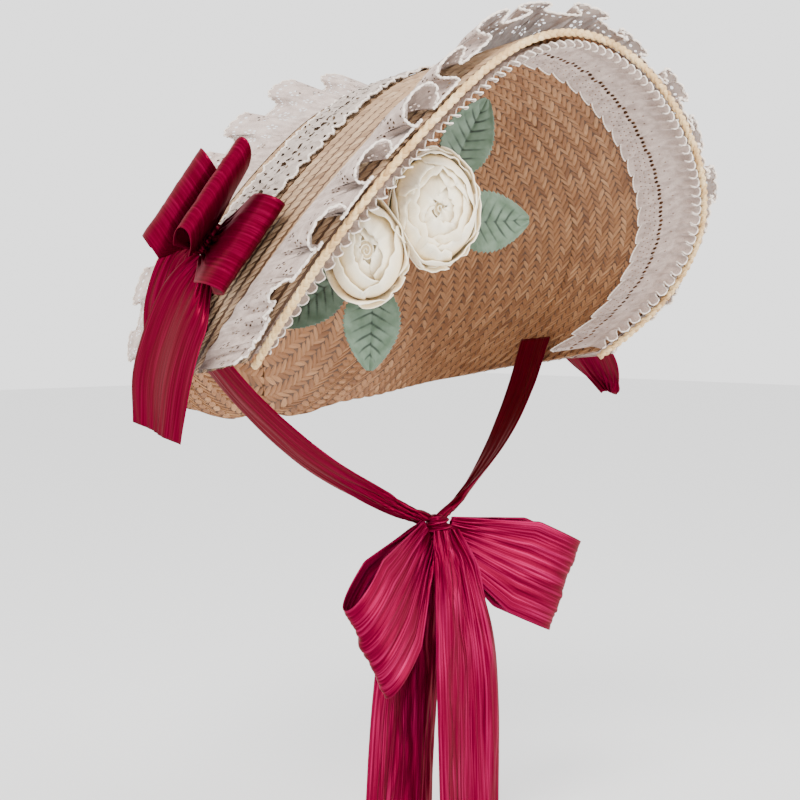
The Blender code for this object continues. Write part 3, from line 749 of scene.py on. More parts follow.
def eyelet_holes(period, width):
    """Clusters of eyelets: a ring of five and a row near the edge."""
    holes = []
    for centre, radius in (((0.27 * period, 0.62 * width), 3.0), ((0.77 * period, 0.36 * width), 2.8)):
        for k in range(5):
            turn = 2 * np.pi * k / 5 + 0.3
            holes.append(Hole(centre[0] + radius * np.cos(turn), centre[1] + radius * np.sin(turn), 1.05))
    for k in range(4):
        holes.append(Hole((k + 0.5) * period / 4, 0.86 * width, 0.95))
    return holes


def make_eyelet_lace(name, node, wide, length, pitch, seed, shape, cord, materials):
    """A gathered flounce of eyelet lace; shape gives its places by v, share, phase and wander."""
    folds = fold_count(pitch)
    width = wide / MM
    count = round(length / MM / EYELET_REPEAT)
    edge = scallop(width, EYELET_SCALLOP, EYELET_REPEAT, 3)

    def place(along, across):
        u = along / (EYELET_REPEAT * count)
        wander = noise(u * folds, 0.5, seed)
        return shape(across / width, LACE_END * (2 * u - 1), 2 * np.pi * folds * u, wander)

    holes = eyelet_holes(EYELET_REPEAT, width)
    tile = lace_tile(EYELET_REPEAT, width, holes, edge, no_base, 1.8)
    make_lace(name, node, wide, tile, EYELET_REPEAT, count, place, ((edge, cord),), materials)


def outer_ruffle_place(v, share, phase, wander):
    """Stands up along the ridge, lies in deep folds down the sides, in small pleats low down."""
    side = np.clip((np.abs(share) - 0.15) / 0.35, 0, 1)
    low = np.clip((np.abs(share) - 0.76) / 0.12, 0, 1)
    far = np.clip(share / 0.25, 0, 1)
    rise = OUTER_RUFFLE_LIFT * (1 - LOW_FLATTENING * share**4) * (1 - 0.62 * side)
    fold = OUTER_RUFFLE_FOLD * (1.05 + 0.30 * wander) * (1 + 0.50 * side)
    crest = (1 - side) * (0.60 * np.cos(phase) + 0.35)
    crest = crest + side * (2 * (0.5 + 0.5 * np.cos(phase)) ** 1.7 - 0.9) * (1 - 0.5 * far)
    lift = np.sin(np.pi * v / 2) * rise + v * fold * crest * (1 - 0.6 * low)
    lift = lift + 0.5 * MM * np.cos(9 * phase) * (1 - v) * v * 4
    lift = lift + low * (0.3 + 0.7 * v) * 3.4 * MM * (1 + np.cos(3 * phase + 2 * wander))
    over = 3.4 * MM * side * np.clip((v - 0.86) / 0.14, 0, 1)
    lift = OUTSIDE_FACE + LACE_WALL / 2 + np.maximum(lift, 0.2 * MM * v + over)
    sway = 1.20 * np.sin(2 * phase) * (1 - low) + 0.35 * low * np.sin(8 * phase) + 0.4 * wander
    around = np.maximum(v, 0) ** 1.5 * OUTER_RUFFLE_FOLD * sway
    reach = 1 + 0.14 * side + 0.05 * np.sin(phase * 0.5 + 1) * v
    back = OUTER_RUFFLE_BASE + OUTER_RUFFLE_LOW * share**4 - 5 * MM * side - OUTER_RUFFLE_WIDTH * v * reach
    return on_hood(back, share, lift, 0.0, around)


def make_outer_ruffle(*materials):
    make_eyelet_lace("outer_lace", "outer_ruffle", OUTER_RUFFLE_WIDTH, OUTER_RUFFLE_LENGTH,
                     OUTER_RUFFLE_PITCH, 3, outer_ruffle_place, 0.80 * MM, materials)


BACK_RUFFLE_BASE = 0.172
BACK_RUFFLE_WIDTH = 0.044
BACK_RUFFLE_LIFT = 0.021
BACK_RUFFLE_FOLD = 0.0055
BACK_RUFFLE_PITCH = 0.040
BACK_RUFFLE_LENGTH = 1.20


def back_ruffle_place(v, share, phase, wander):
    flat = 1 - LOW_FLATTENING * share**2
    fold = BACK_RUFFLE_FOLD * (1.1 + 0.3 * wander) * np.cos(phase)
    lift = STRAW_WALL / 2 + ROW_RELIEF + v * flat * (BACK_RUFFLE_LIFT + fold)
    around = np.maximum(v, 0) ** 1.5 * BACK_RUFFLE_FOLD * (1.1 * np.sin(2 * phase) + 0.4 * wander)
    return on_hood(BACK_RUFFLE_BASE + BACK_RUFFLE_WIDTH * v, share, lift, 0.0, around)


def make_back_ruffle(*materials):
    make_eyelet_lace("back_lace", "back_ruffle", BACK_RUFFLE_WIDTH, BACK_RUFFLE_LENGTH, BACK_RUFFLE_PITCH, 8,
                     back_ruffle_place, 0.55 * MM, materials)


CROCHET_WALL = 0.0014
CROCHET_WIDTH = 0.056
CROCHET_REPEAT = 0.013
CROCHET_SCALLOP = 0.004
CROCHET_PUFF = 0.0012


def make_crochet_band(*materials):
    width = CROCHET_WIDTH / MM
    length = row_along(float(station_of(BRIM_DEPTH)))[1][-1] * LACE_END
    period = CROCHET_REPEAT / MM
    count = round(length / CROCHET_REPEAT)
    far = scallop(width, CROCHET_SCALLOP / MM, period)
    holes = []
    for k in range(2):
        for side, radius in ((0.50, 2.6), (0.30, 1.3), (0.70, 1.3)):
            holes.append(Hole((k + 0.5) * period / 2, width * side, radius))
    for side, radius in ((0.12, 1.3), (0.88, 1.3), (0.40, 0.8), (0.60, 0.8), (0.21, 0.8), (0.79, 0.8)):
        holes.append(Hole(period / 2, width * side, radius))

    def near(along):
        return width - far(along)

    def place(along, across):
        u, v = along / (period * count), across / width
        back = BRIM_DEPTH + CROCHET_WIDTH * 0.3 + (v - 0.5) * CROCHET_WIDTH
        puff = CROCHET_PUFF * (np.abs(np.sin(2 * np.pi * v)) + noise(along / 2.8, across / 2.8, 4))
        lift = OUTSIDE_FACE + CROCHET_WALL / 2 + ROW_RELIEF / 2 + puff
        return on_hood(back, LACE_END * (2 * u - 1), lift)

    tile = lace_tile(period, width, holes, far, near, 2.2)
    make_lace("crochet_lace", "crochet_band", CROCHET_WIDTH, tile, period, count, place,
              ((far, 0.9 * MM), (near, 0.9 * MM)), materials,
              length)


INNER_RUFFLE_WIDTH = 0.047
INNER_RUFFLE_DEPTH = 0.006
INNER_RUFFLE_LENGTH = 1.05
INNER_LOBES = 40
MEANDER_PITCH = 0.0074
HEADER = 0.26
LOBE_RISE = 0.82


def inner_holes(period, width):
    """A row of large eyelets, pinholes in the flounce and a few in the body."""
    holes = [Hole((k + 0.5) * period / 5, 0.60 * width, 1.75) for k in range(5)]
    for row, across in enumerate((0.71, 0.79, 0.87)):
        for k in range(5):
            holes.append(Hole((k + 0.3 + 0.4 * (row % 2)) * period / 5, across * width, 0.62))
    holes.append(Hole(0.30 * period, 0.44 * width, 0.75))
    holes.append(Hole(0.80 * period, 0.38 * width, 0.75))
    return holes


def make_inner_ruffle(*materials):
    """The lace inside the rim: a meandering header frill, a row of eyelets and a lobed flounce."""
    width = INNER_RUFFLE_WIDTH / MM
    rim = fold_count(MEANDER_PITCH)
    count = INNER_LOBES
    period = INNER_RUFFLE_LENGTH / MM / count
    edge = scallop(width, 3.0, period)

    def place(along, across):
        u, v = along / (period * count), across / width
        share = LACE_END * (2 * u - 1)
        lobe = (u * count) % 1
        wave = 2 * np.pi * rim * u + 0.8 * noise(u * rim * 0.7, 0.5, 6)
        header = np.clip(1 - v / HEADER, 0, 1)
        flounce = np.clip((v - HEADER) / (1 - HEADER), 0, 1)
        pleat = np.where(lobe < LOBE_RISE, lobe / LOBE_RISE, (1 - lobe) / (1 - LOBE_RISE))
        depth = 0.10 + 0.40 * header**0.7 + 0.25 * flounce + 0.62 * flounce**0.8 * pleat
        depth = depth + header**0.8 * (0.36 * np.sin(wave) + 0.40 * np.clip(-4 * share, 0, 1))
        depth = depth + 0.10 * np.sin(np.pi * np.clip(v, 0, 1)) * noise(u * count * 3.1, v * 2, 15)
        around = 0.9 * MM * header * np.sin(2 * wave) + 3.2 * MM * flounce * (pleat - 0.5)
        ahead = (3.0 * np.cos(wave) + 2.2) * MM * header**1.5
        lift = -(OUTSIDE_FACE + ROW_RELIEF / 2 + INNER_RUFFLE_DEPTH * np.maximum(depth, 0.02))
        return on_hood(v * INNER_RUFFLE_WIDTH, share, lift, ahead, around)

    tile = lace_tile(period, width, inner_holes(period, width), edge, no_base, 1.9)
    make_lace("inner_lace", "inner_ruffle", INNER_RUFFLE_WIDTH, tile, period, count, place,
              ((edge, 0.50 * MM), (no_base, 0.48 * MM)), materials)


# Roses

INSIDE_FACE = OUTSIDE_FACE + RIM_WIDTH / 2 * (1 - np.cos(np.pi * HOOD_SECTIONS[3].end / 20))
RUFFLE_FACE = INSIDE_FACE + LACE_WALL + INNER_RUFFLE_DEPTH + GAP
ROSE_TALL = 1.30
ROSE_BACK = 0.45
PETAL_WALL = 0.0006
Flower = namedtuple("Flower", "back share lift yaw radius")
ROSES = {
    "rose_large": Flower(0.025, -0.51, 1.38, 30, 0.0285),
    "rose_small": Flower(0.019, -0.70, 0.92, 42, 0.0255),
}
Tier = namedtuple("Tier", "lip size petals turn half curl ruffle")

# Petals from the guard petals inwards: lip is how far their tops lie off the bloom's axis, turn where
# the first one stands and half its half width, in degrees; size, curl and ruffle share the radius.
PETALS = {
    "rose_large": (
        Tier(98, 0.95, 5, 10, 50, 0.10, 0.06),
        Tier(78, 0.94, 4, 52, 62, 0.13, 0.07),
        Tier(58, 0.90, 4, 5, 64, 0.14, 0.07),
        Tier(42, 0.86, 4, 48, 66, 0.13, 0.06),
        Tier(28, 0.82, 3, 75, 80, 0.12, 0.06),
        Tier(15, 0.77, 3, 10, 84, 0.10, 0.05),
        Tier(5, 0.72, 3, 65, 90, 0.08, 0.04),
    ),
    "rose_small": (
        Tier(104, 0.97, 5, 30, 50, 0.16, 0.10),
        Tier(86, 0.95, 4, 78, 54, 0.22, 0.11),
        Tier(62, 0.90, 3, 20, 66, 0.26, 0.11),
        Tier(38, 0.84, 3, 80, 70, 0.24, 0.09),
        Tier(20, 0.76, 2, 30, 96, 0.20, 0.07),
        Tier(6, 0.66, 2, 10, 100, 0.12, 0.05),
    ),
}
PETAL_FOOT = 140.0
PETAL_PRESS = 0.92
BUD_TURNS = 2.6
BUD_RADIUS = 0.20
BUD_TOP = 0.68
BUD_FOOT = 0.10
CORE = 0.56


def rose_place(name):
    row = ROSES[name]
    centre = on_hood(row.back, row.share, -RUFFLE_FACE - row.lift * row.radius)
    turn = np.radians(row.yaw)
    out = np.array([-np.sin(turn), -np.cos(turn), 0.0])
    up = np.array([0.0, 0.0, 1.0])
    return centre, row.radius, np.stack([np.cross(up, out), up, out])


def towards(turn, tilt):
    """Unit vectors that stand tilt off the z axis and turn round it, in radians."""
    return np.stack([np.sin(tilt) * np.cos(turn), np.sin(tilt) * np.sin(turn), np.cos(tilt)], -1)


def petal(tier, number, seed):
    """One petal round the bloom's z axis, in shares of the radius, and its tint."""
    across, up = lattice(22, 16)
    side = 2 * across - 1
    whim = noise(seed * 1.37, 0.5, 31)
    lip = tier.lip + 5 * whim + 16 * np.abs(side) ** 2.6 - 5 * noise(side * 1.6, seed * 1.7, 21)
    tilt = np.radians(PETAL_FOOT + (lip - PETAL_FOOT) * up)
    half = np.radians(tier.half) * (0.50 + 0.50 * np.sin(np.pi * np.minimum(up * 0.70, 0.5)))
    turn = np.radians(tier.turn + 360 * number / tier.petals + 14 * whim) + side * half
    edge = np.maximum(up - 0.62, 0) / 0.38
    curl = tier.curl * (0.6 + 0.6 * noise(side * 1.2 + seed, 3.5, 37))
    reach = tier.size * (0.975 + 0.030 * side) + curl * 0.55 * edge**1.5
    reach = reach + 1.5 * tier.ruffle * noise(side * 1.9 + seed, up * 1.4, 41) * up**3
    reach = reach + tier.ruffle * 0.85 * noise(side * 6.0, seed * 1.3, 43) * edge
    tilt = tilt + curl * 0.8 * edge**3 + 0.06 * noise(side * 7, seed * 1.3, 47) * edge
    points = towards(turn, tilt) * np.minimum(reach, 1.0)[..., None]
    # The tint is lowest at the petal's foot, where the material paints shade deep in the bloom.
    tint = np.clip(up**1.6 + 0.20 * noise(side * 2, up * 3 + seed, 51), 0, 1)
    return grid_shape(points, tint, side * 14 + 40 * seed, up * 26)


def bud():
    """The rolled petals in the heart of a bloom: a spiral sheet whose lip falls outwards."""
    along, up = lattice(90, 6)
    turn = 2 * np.pi * BUD_TURNS * along
    radius = BUD_RADIUS * (0.06 + 0.94 * along) * (0.92 + 0.14 * up**3)
    top = BUD_TOP * (1 - 0.10 * along) + 0.025 * noise(turn * 0.9, 0.5, 71)
    points = np.stack([radius * np.cos(turn), radius * np.sin(turn), BUD_FOOT + (top - BUD_FOOT) * up], -1)
    # The bud is darker at its foot: painted shade down in the heart of the bloom.
    return grid_shape(points, 0.60 + 0.40 * up, turn * 4, up * 18)


def core():
    """What closes the bloom under its petals."""
    around, up = lattice(32, 16)
    turn, tilt = 2 * np.pi * around, np.radians(150 * (1 - up))
    return grid_shape(towards(turn, tilt) * CORE, 0 * turn + 0.55, turn * 10, tilt * 10)


def make_rose(name, material):
    """Petals laid round each other, pressed flat where the two roses meet and at the back."""
    centre, radius, frame = rose_place(name)
    other, other_radius, _ = next(rose_place(key) for key in ROSES if key != name)
    way = unit(other - centre)
    room = np.linalg.norm(other - centre) * radius / (radius + other_radius) - GAP / 2 - PETAL_WALL / 2
    shapes = [bud(), core()]
    for tier in PETALS[name]:
        shapes += [petal(tier, number, len(shapes) + number) for number in range(tier.petals)]
    points, faces, tint, flat = pile(shapes)
    points = points * radius
    points[:, 2] = np.maximum(points[:, 2], -ROSE_BACK * radius)
    points = (points * [1, ROSE_TALL, 1]) @ frame
    beyond = np.maximum(points @ way - room, 0)
    points = centre + points - beyond[:, None] * way * PETAL_PRESS
    rose = add_piece(name + "_petals", points, faces, material, (name,), tint, flat, PETAL_WALL)


# Leaves

LEAF_LENGTH = 0.050
LEAF_WIDTH = 0.038
LEAF_WALL = 0.0010
LEAF_CUP = 0.004
SERRATIONS = 17
SIDE_VEINS = 7
Leaf = namedtuple("Leaf", "rose right up tip_right tip_up tip_out length width")
LEAVES = {
    "leaf_1": Leaf("rose_large", 0.50, 0.60, 0.45, 0.88, 0.0, 1.00, 0.85),
    "leaf_2": Leaf("rose_large", 0.55, -0.20, 0.97, 0.05, 0.0, 0.95, 1.00),
    "leaf_3": Leaf("rose_large", -0.20, 0.66, -0.30, 0.95, -0.1, 0.50, 0.45),
    "leaf_4": Leaf("rose_small", -0.55, -0.35, -0.75, -0.62, -0.45, 1.15, 0.85),
    "leaf_5": Leaf("rose_small", 0.15, -0.60, -0.05, -1.00, 0.0, 1.00, 0.92),
}


def make_leaf(name, material):
    row = LEAVES[name]
    centre, radius, (right, up, out) = rose_place(row.rose)
    direction = unit(right * row.tip_right + up * row.tip_up + out * row.tip_out)
    across = unit(np.cross(direction, out))
    face = np.cross(across, direction)
    seat = ROSE_BACK * radius + GAP + LEAF_WALL / 2
    stem = centre + right * row.right * radius + up * row.up * radius * ROSE_TALL - out * seat
    u, v = lattice(102, 30)
    side = 2 * v - 1
    saw = (u * SERRATIONS) % 1
    outline = 0.5 * np.sin(np.pi * (0.04 + 0.94 * u) ** 0.8) ** 0.75
    width = outline * (1 - 0.09 * saw * np.abs(side) ** 6) * LEAF_WIDTH * row.width * side
    branch = (u * (SIDE_VEINS + 1) - np.abs(side) * 1.5 + 0.06 * np.sign(side)) % 1
    vein = np.exp(-((branch - 0.5) / 0.16) ** 2) * np.clip(1.55 - np.abs(side) * 1.6, 0, 1)
    vein = vein * np.clip(np.sin(np.pi * u) * 1.6, 0, 1)
    midrib = np.exp(-((side * outline * 2) / 0.035) ** 2)
    dip = -LEAF_CUP * (1 - np.abs(side)) * np.sin(np.pi * u) - LEAF_CUP * u**2
    dip = dip - 0.5 * MM * vein - 0.5 * MM * midrib + 0.7 * MM * noise(u * 5, side * 2, 61) * np.abs(side)
    points = stem + direction * (LEAF_LENGTH * row.length * u)[..., None]
    points = points + across * width[..., None] + face * dip[..., None]
    streak = 0.95 + 0.35 * noise(u * 30, side * 5, 63)
    tint = np.clip(vein * streak + 0.35 * midrib, 0, 1)
    flat = np.stack([u * 50 * row.length, side * 19 * row.width], -1)
    leaf, area = add_sheet(name + "_blade", points, material, name, tint, flat, 0.6 * MM)


# Ribbon

RIBBON_WIDTH = 0.064
RIBBON_WALL = 0.0011
SATIN_WALL = 0.0005
PLEATS = 7
PLEAT_DEPTH = 0.0036
CRUSH_DEPTH = 0.00042
SIDE_BOW_BACK = 0.128
SIDE_BOW_SHARE = 0.68
SIDE_BOW_SPAN = 0.060
SIDE_KNOT_SIZE = 0.018
SIDE_TAIL_LENGTH = 0.120
CHIN_DROP = 0.284
CHIN_AHEAD = 0.050
CHIN_KNOT_SIZE = 0.016
CHIN_LOOP_LENGTH = 0.098
CHIN_TAIL_LENGTH = 0.190
TIE_BACK = 0.088
TIE_SHARE = 0.92
TIE_SAG = 0.015
ROOT_WIDTH = 0.34
SIDE_LOOP_START = 0.47
CHIN_LOOP_START = 0.53
LOOP_OPENING = 1.7
LOOP_SWELL = 1.4
LAYER_ROOM = 1.2 * RIBBON_WALL
KNOT_REST = 0.45
KNOT_SWELL = 1.08
GATHER_POWER = 2.3
SELVEDGE = 0.0013
CHIN_KNOT = np.array([0, -CHIN_AHEAD, -CHIN_DROP])


def grid_normals(points):
    return unit(np.cross(np.gradient(points, axis=0), np.gradient(points, axis=1)))


def square_length(points):
    """How long the ribbon along a grid of points is, measured square to its width."""
    middle = points[:, points.shape[1] // 2]
    across = unit(points[:, -1] - points[:, 0])
    across = unit(across[1:] + across[:-1])
    steps = np.diff(middle, axis=0)
    steps = steps - across * np.sum(steps * across, -1)[:, None]
    return float(np.sum(np.linalg.norm(steps, axis=-1)))


def make_ribbon(node, points, share, material, seed, crush, nested=False):
    """Crushed satin along a grid of points; share is how wide the gathered ribbon lies there.

    The gathers of a loop's two runs are nested where they lie together at the knot.
    """
    u, v = lattice(points.shape[0] - 1, points.shape[1] - 1)
    length = square_length(points)
    far = u * length / MM
    gather = np.clip((1 - np.broadcast_to(share, u.shape)) / (1 - ROOT_WIDTH), 0, 1.2)
    wander = 0.35 * noise(far / 22, v * 3, seed + 1)
    pleat = gather**GATHER_POWER * PLEAT_DEPTH * np.cos(2 * np.pi * (PLEATS * v + wander))
    pleat = pleat * (0.8 + 0.4 * noise(v * PLEATS, far / 30, seed))
    if nested:
        pleat = pleat * np.cos(np.pi * u)
    fine = noise(v * 17 + wander * 2, far / 26, seed + 2) + 0.6 * noise(v * 37, far / 17, seed + 3)
    broad = 1.4 * noise(v * 4.3, far / 40, seed + 4)
    ends = 1 - 0.6 * np.abs(2 * v - 1) ** 8
    lift = pleat + crush * CRUSH_DEPTH * (fine + broad) * ends
    points = points + grid_normals(points) * lift[..., None]
    # The tint marks the selvedge, where the satin material paints sheen.
    selvedge_sheen = np.clip(1 - np.minimum(v, 1 - v) * RIBBON_WIDTH / SELVEDGE, 0, 1)
    flat = np.stack([far + 97 * seed, v * RIBBON_WIDTH / MM], -1)
    ribbon, _ = add_sheet(node + "_satin", points, material, node, selvedge_sheen, flat, SATIN_WALL)


def make_knot(name, node, centre, size, axis, material, seed):
    """The ribbon wrapped once round a knot: gathered folds that run round its axis."""
    u, v = lattice(72, 64)
    height = 2 * v - 1
    turn = 2 * np.pi * u
    slant = 0.35 * np.sin(turn + seed)
    round_off = np.sqrt(np.clip(1 - (height * 0.93) ** 2, 0, 1)) ** 0.7
    pleat = 0.085 * size * np.cos(2 * np.pi * (4.0 * v + slant) + 0.8 * noise(v * 3, u * 4, seed))
    radius = size / 2 * round_off * 0.96 + pleat * round_off**0.5 + 0.02 * size * noise(v * 20, u * 9, seed)
    radius = np.maximum(radius, 0.10 * size)
    axis = unit(axis)
    side = unit(np.cross(axis, [0.21, 0.47, 0.86]))
    up = np.cross(axis, side)
    ring = np.cos(turn)[..., None] * side + np.sin(turn)[..., None] * up
    points = centre + ring * (KNOT_SWELL * radius)[..., None] + axis * (height * size * 0.56)[..., None]
    flat = np.stack([u * 50 + 31 * seed, v * RIBBON_WIDTH / MM], -1)
    knot, area = add_sheet(name, points, material, node, 0 * u, flat, SATIN_WALL * 0.6)


def loop_points(knot, offset, axis, bulge, start, columns=84, rows=42):
    """A ribbon loop from the knot out to offset and back, its width along axis."""
    along = axis * (offset @ axis)
    outward = offset - along
    side = unit(np.cross(axis, outward))
    first = start / np.linalg.norm(outward)
    u, v = lattice(columns, rows)
    reach = (1 - np.cos(2 * np.pi * u)) / 2
    depth = bulge * LOOP_SWELL * reach * np.sin(2 * np.pi * u) + LAYER_ROOM * np.cos(np.pi * u)
    share = ROOT_WIDTH + (1 - ROOT_WIDTH) * np.minimum(1.0, LOOP_OPENING * reach)
    middle = knot + outward * (first + (1 - first) * reach)[..., None] + along * reach[..., None]
    points = middle + side * depth[..., None] + axis * ((v - 0.5) * RIBBON_WIDTH * share)[..., None]
    return points, share


Loop = namedtuple("Loop", "out ahead up bulge")
SIDE_LOOPS = {
    "loop_front": Loop(0.03, 1.02, 0.32, 0.13),
    "loop_middle": Loop(0.53, 0.64, 0.60, 0.105),
    "loop_back": Loop(0.62, 0.08, 0.22, 0.15),
}
Tail = namedtuple("Tail", "out back down width tilt")
SIDE_TAILS = {
    "tail_front": (
        Tail(0.04, -0.02, 0.132, 0.34, 50),
        Tail(0.11, 0.03, 0.30, 0.72, 35),
        Tail(0.17, 0.09, 0.50, 0.88, 12),
        Tail(0.24, 0.09, 0.72, 0.90, 6),
        Tail(0.29, 0.06, 0.98, 0.74, 14),
    ),
    "tail_back": (
        Tail(0.024, 0.12, 0.05, 0.26, 60),
        Tail(0.033, 0.22, 0.16, 0.60, 40),
        Tail(0.07, 0.27, 0.36, 0.72, 15),
        Tail(0.09, 0.26, 0.60, 0.72, 10),
    ),
}
Side = namedtuple("Side", "label way tail_length tail_ahead rounding")

# As in the part's source, and rounding is how far the tails' ends are cut round.
SIDES = (
    Side("right", -1, 1.00, 0.00, 0.0),
    Side("left", 1, 0.88, 0.20, 1.0),
)


def columns_at(rows, share):
    """The columns of a table at shares of its length."""
    return np.moveaxis(table_at(rows, share * (len(rows) - 1)), -1, 0)


def tilted(width, tilt, up):
    """Vectors across a ribbon that leans tilt degrees, as long as its share of the width."""
    tilt = np.radians(tilt)
    return np.stack([0 * tilt, -np.cos(tilt), up * np.sin(tilt)], -1) * (width * RIBBON_WIDTH)[..., None]


def side_tail_points(rows, origin, side, columns=72, width_steps=42):
    u, v = lattice(columns, width_steps)
    out, back, down, width, tilt = columns_at(rows, u)
    drop = down * (1 - (1 - side.tail_length) * down)
    middle = np.stack([side.way * out, back - side.tail_ahead * down**2, -drop], -1)
    end = np.clip((u - 0.70) / 0.30, 0, 1)
    width = width * (1 - side.rounding * (1 - np.sqrt(1 - 0.92 * end**2)))
    points = origin + middle * SIDE_TAIL_LENGTH + tilted(width, tilt, -1) * (v - 0.5)[..., None]
    points[..., 0] += side.way * RIBBON_WALL * np.cos(3 * np.pi * v)
    return points, width


def make_side_bow(side, material, seed):
    lift = OUTSIDE_FACE + CROCHET_WALL + GAP + SIDE_KNOT_SIZE * KNOT_REST
    point, round_way, back_way, normal = hood_frame(station_of(SIDE_BOW_BACK), side.way * SIDE_BOW_SHARE)
    knot = point + normal * lift
    axis = -side.way * round_way
    bow = side.label + "_bow_"
    make_knot(bow + "wrap", bow + "knot", knot, SIDE_KNOT_SIZE, axis, material, seed)
    for name, row in SIDE_LOOPS.items():
        seed += 1
        offset = (normal * row.out - back_way * row.ahead + axis * row.up) * SIDE_BOW_SPAN
        points, share = loop_points(knot, offset, axis, row.bulge * SIDE_BOW_SPAN,
                                    SIDE_KNOT_SIZE * SIDE_LOOP_START)
        make_ribbon(bow + name, points, share, material, seed, 0.5, True)
    for name, rows in SIDE_TAILS.items():
        seed += 1
        points, share = side_tail_points(rows, knot, side)
        make_ribbon(bow + name, points, share, material, seed, 0.35)


Tie = namedtuple("Tie", "along sag width tilt")
TIE_ROWS = (
    Tie(0.00, 0.00, 0.44, 5),
    Tie(0.24, 0.72, 0.44, 12),
    Tie(0.52, 1.00, 0.42, 22),
    Tie(0.80, 0.60, 0.30, 32),
    Tie(1.00, 0.00, 0.13, 40),
)
TIE_END = np.array([0.32, 0.24, 0.34])
TIE_DROOP = np.array([0.50, 0.00, -0.85])
TIE_FLAP = 0.22


def make_chin_tie(side, material, seed):
    """One side of the chin tie: the ribbon folded double along its length, its upper layer narrower."""
    mirror = np.array([side.way, 1, 1])
    start = on_hood(TIE_BACK, side.way * TIE_SHARE, -(INSIDE_FACE + 3 * RIBBON_WALL))
    end = CHIN_KNOT + mirror * TIE_END * CHIN_KNOT_SIZE
    u, w = lattice(96, 44)
    run = w * (2 - TIE_FLAP)
    upper = run < 1 - TIE_FLAP
    v = np.where(upper, TIE_FLAP + run, 2 - TIE_FLAP - run)
    layer = np.clip((1 - TIE_FLAP - run) / 0.10, -1, 1)
    along, sag, width, tilt = columns_at(TIE_ROWS, u)
    middle = start + (end - start) * along[..., None] + mirror * TIE_DROOP * TIE_SAG * sag[..., None]
    points = middle + tilted(width, tilt, 1) * (v - 0.5)[..., None]
    points[..., 0] += side.way * RIBBON_WALL * (2 * (1 - np.abs(2 * v - 1)) + 0.55 * layer)
    make_ribbon("chin_tie_" + side.label, points, np.minimum(width * 1.9, 0.86), material,
                seed, 0.25)


ChinLoop = namedtuple("ChinLoop", "side ahead down wide_side wide_ahead wide_down")
CHIN_LOOPS = {
    "chin_loop_right": ChinLoop(-0.74, 0.14, 0.74, 0.40, 0.14, 0.90),
    "chin_loop_left": ChinLoop(1.02, 0.20, 0.46, -0.35, -0.13, 0.93),
}
CHIN_BULGE = 0.10
ChinTail = namedtuple("ChinTail", "side ahead down width")
CHIN_TAILS = {
    "chin_tail_front": (
        ChinTail(0.000, 0.044, 0.00, 0.28),
        ChinTail(0.012, 0.090, 0.16, 0.58),
        ChinTail(0.050, 0.100, 0.50, 0.84),
        ChinTail(0.065, 0.100, 1.00, 0.86),
    ),
    "chin_tail_back": (
        ChinTail(-0.010, -0.041, 0.01, 0.28),
        ChinTail(-0.060, -0.050, 0.25, 0.72),
        ChinTail(-0.110, -0.040, 0.55, 0.88),
        ChinTail(-0.150, -0.030, 0.97, 0.94),
    ),
}


def chin_tail_points(rows, columns=110, width_steps=48):
    u, v = lattice(columns, width_steps)
    side, ahead, down, width = columns_at(rows, u)
    points = CHIN_KNOT + np.stack([side, -ahead, -down], -1) * CHIN_TAIL_LENGTH
    points[..., 0] += (v - 0.5) * width * RIBBON_WIDTH
    points[..., 1] += 2 * RIBBON_WALL * np.cos(3 * np.pi * v + 2 * u)
    return points, width


def make_chin_bow(material, seed):
    make_knot("chin_knot_wrap", "chin_knot", CHIN_KNOT, CHIN_KNOT_SIZE, np.array([0, 0, 1.0]), material, seed)
    for name, row in CHIN_LOOPS.items():
        seed += 1
        offset = np.array([row.side, -row.ahead, -row.down]) * CHIN_LOOP_LENGTH
        axis = unit(np.array([row.wide_side, -row.wide_ahead, -row.wide_down]))
        points, share = loop_points(CHIN_KNOT, offset, axis, CHIN_BULGE * CHIN_LOOP_LENGTH,
                                    CHIN_KNOT_SIZE * CHIN_LOOP_START, 120, 48)
        make_ribbon(name, points, share, material, seed, 2.1, True)
    for name, rows in CHIN_TAILS.items():
        seed += 1
        points, share = chin_tail_points(rows)
        make_ribbon(name, points, share, material, seed, 2.2)


# Light and floor

FLOOR_DROP = 0.03
FLOOR_SIZE = 6.0
WORLD_STRENGTH = 2.05


def make_floor(material):
    low = min(cad_box[0][2], cad_box[1][2]) - FLOOR_DROP
    corners = ((-1, -1), (1, -1), (1, 1), (-1, 1))
    mesh = bpy.data.meshes.new("floor")
    mesh.from_pydata([(x * FLOOR_SIZE, y * FLOOR_SIZE, low) for x, y in corners], [], [(0, 1, 2, 3)])
    mesh.materials.append(material)
    link("floor", mesh)


def add_light(name, place, size, power, colour):
    data = bpy.data.lights.new(name, "AREA")
    data.size, data.energy, data.color = size, power, colour
    light = link(name, data)
    light.location = place
    light.rotation_euler = (VIEW_TARGET - Vector(place)).to_track_quat("-Z", "Y").to_euler()


def make_lights():
    world = bpy.data.worlds.new("studio")
    world.use_nodes = True
    set_inputs(world.node_tree.nodes["Background"], Color=(*WHITE, 1.0), Strength=WORLD_STRENGTH)
    bpy.context.scene.world = world
    add_light("key", (-1.5, -1.1, 1.3), 0.8, 58, (1.0, 0.97, 0.93))
    add_light("fill", (0.5, -1.7, 0.1), 1.2, 30, (1.0, 0.98, 0.97))


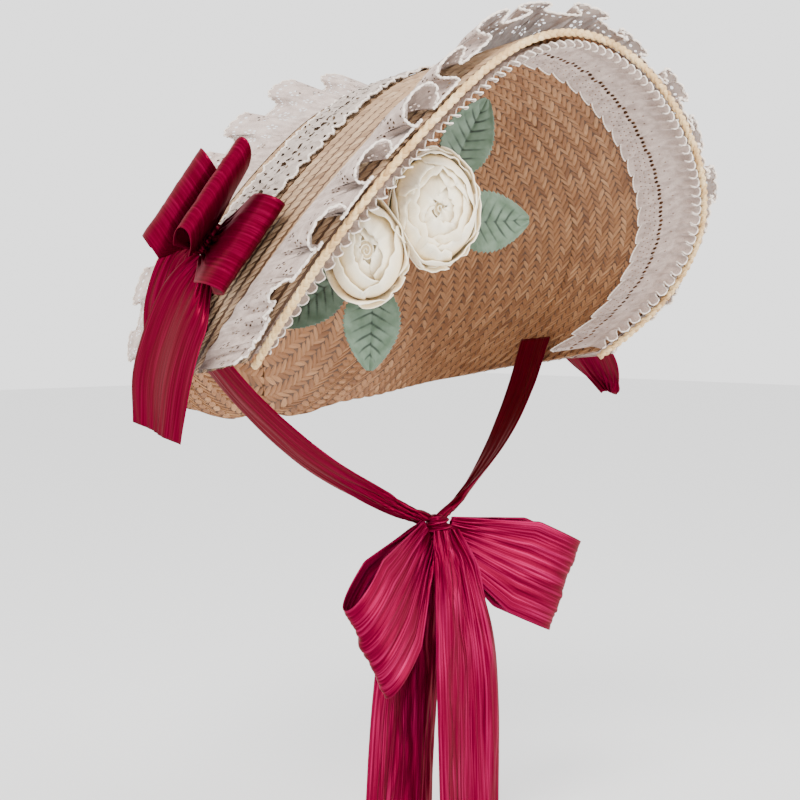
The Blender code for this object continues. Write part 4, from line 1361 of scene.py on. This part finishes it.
make_camera()
OUTER_STRAW = straw_material("straw_outside", (0.230, 0.130, 0.068), (0.445, 0.285, 0.165),
                             (0.610, 0.440, 0.280))
INNER_STRAW = straw_material("straw_inside", (0.160, 0.063, 0.024), (0.344, 0.160, 0.067),
                             (0.504, 0.277, 0.134))
# Painted shade: the wall under the plait is coloured dark to stand for the shadow in the gaps between rows.
SHADE_UNDER_STRAW = straw_material("straw_under_shade", (0.101, 0.050, 0.025), (0.101, 0.050, 0.025),
                             (0.134, 0.067, 0.034))
RIM_STRAW = straw_material("straw_rim", (0.437, 0.237, 0.085), (0.741, 0.503, 0.237), (0.874, 0.674, 0.380))
LACE = lace_material("lace", (0.568, 0.456, 0.404), (0.387, 0.297, 0.258), 0.25)
CROCHET = lace_material("crochet", (0.499, 0.421, 0.370), (0.344, 0.280, 0.241), 0.0)
THREAD = thread_material("thread", (0.84, 0.75, 0.67))
make_straw(OUTER_STRAW, INNER_STRAW, SHADE_UNDER_STRAW)
make_rim_braid(RIM_STRAW)
make_outer_ruffle(LACE, THREAD)
make_back_ruffle(LACE, THREAD)
make_crochet_band(CROCHET, THREAD)
make_inner_ruffle(LACE, THREAD)
PETAL = petal_material("petals", (0.68, 0.34, 0.08), (0.88, 0.69, 0.40), (0.95, 0.85, 0.64))
LEAF = leaf_material("leaf", (0.044, 0.080, 0.044), (0.091, 0.139, 0.094), (0.0034, 0.015, 0.005))
# Lit and shaded copies of one satin: the chin bow's copy is lighter with painted highlight; the side bows'
# and ties' copy is darker with painted shade and has a shallower bump.
LIT_SATIN = satin_material("satin", (0.075, 0.0002, 0.0088), (0.132, 0.0007, 0.019), (0.264, 0.0053, 0.055),
                       0.6 * MM)
SHADED_SMOOTH_SATIN = satin_material("satin_smooth_shaded", (0.078, 0.0002, 0.0075), (0.106, 0.0004, 0.012),
                              (0.160, 0.0014, 0.025), 0.3 * MM)
for rose_name in ROSES:
    make_rose(rose_name, PETAL)
for leaf_name in LEAVES:
    make_leaf(leaf_name, LEAF)
for seed, side in zip((100, 120), SIDES):
    make_side_bow(side, SHADED_SMOOTH_SATIN, seed)
    make_chin_tie(side, SHADED_SMOOTH_SATIN, seed + 10)
make_chin_bow(LIT_SATIN, 140)
make_floor(new_material("floor", Roughness=0.9)[0])
make_lights()
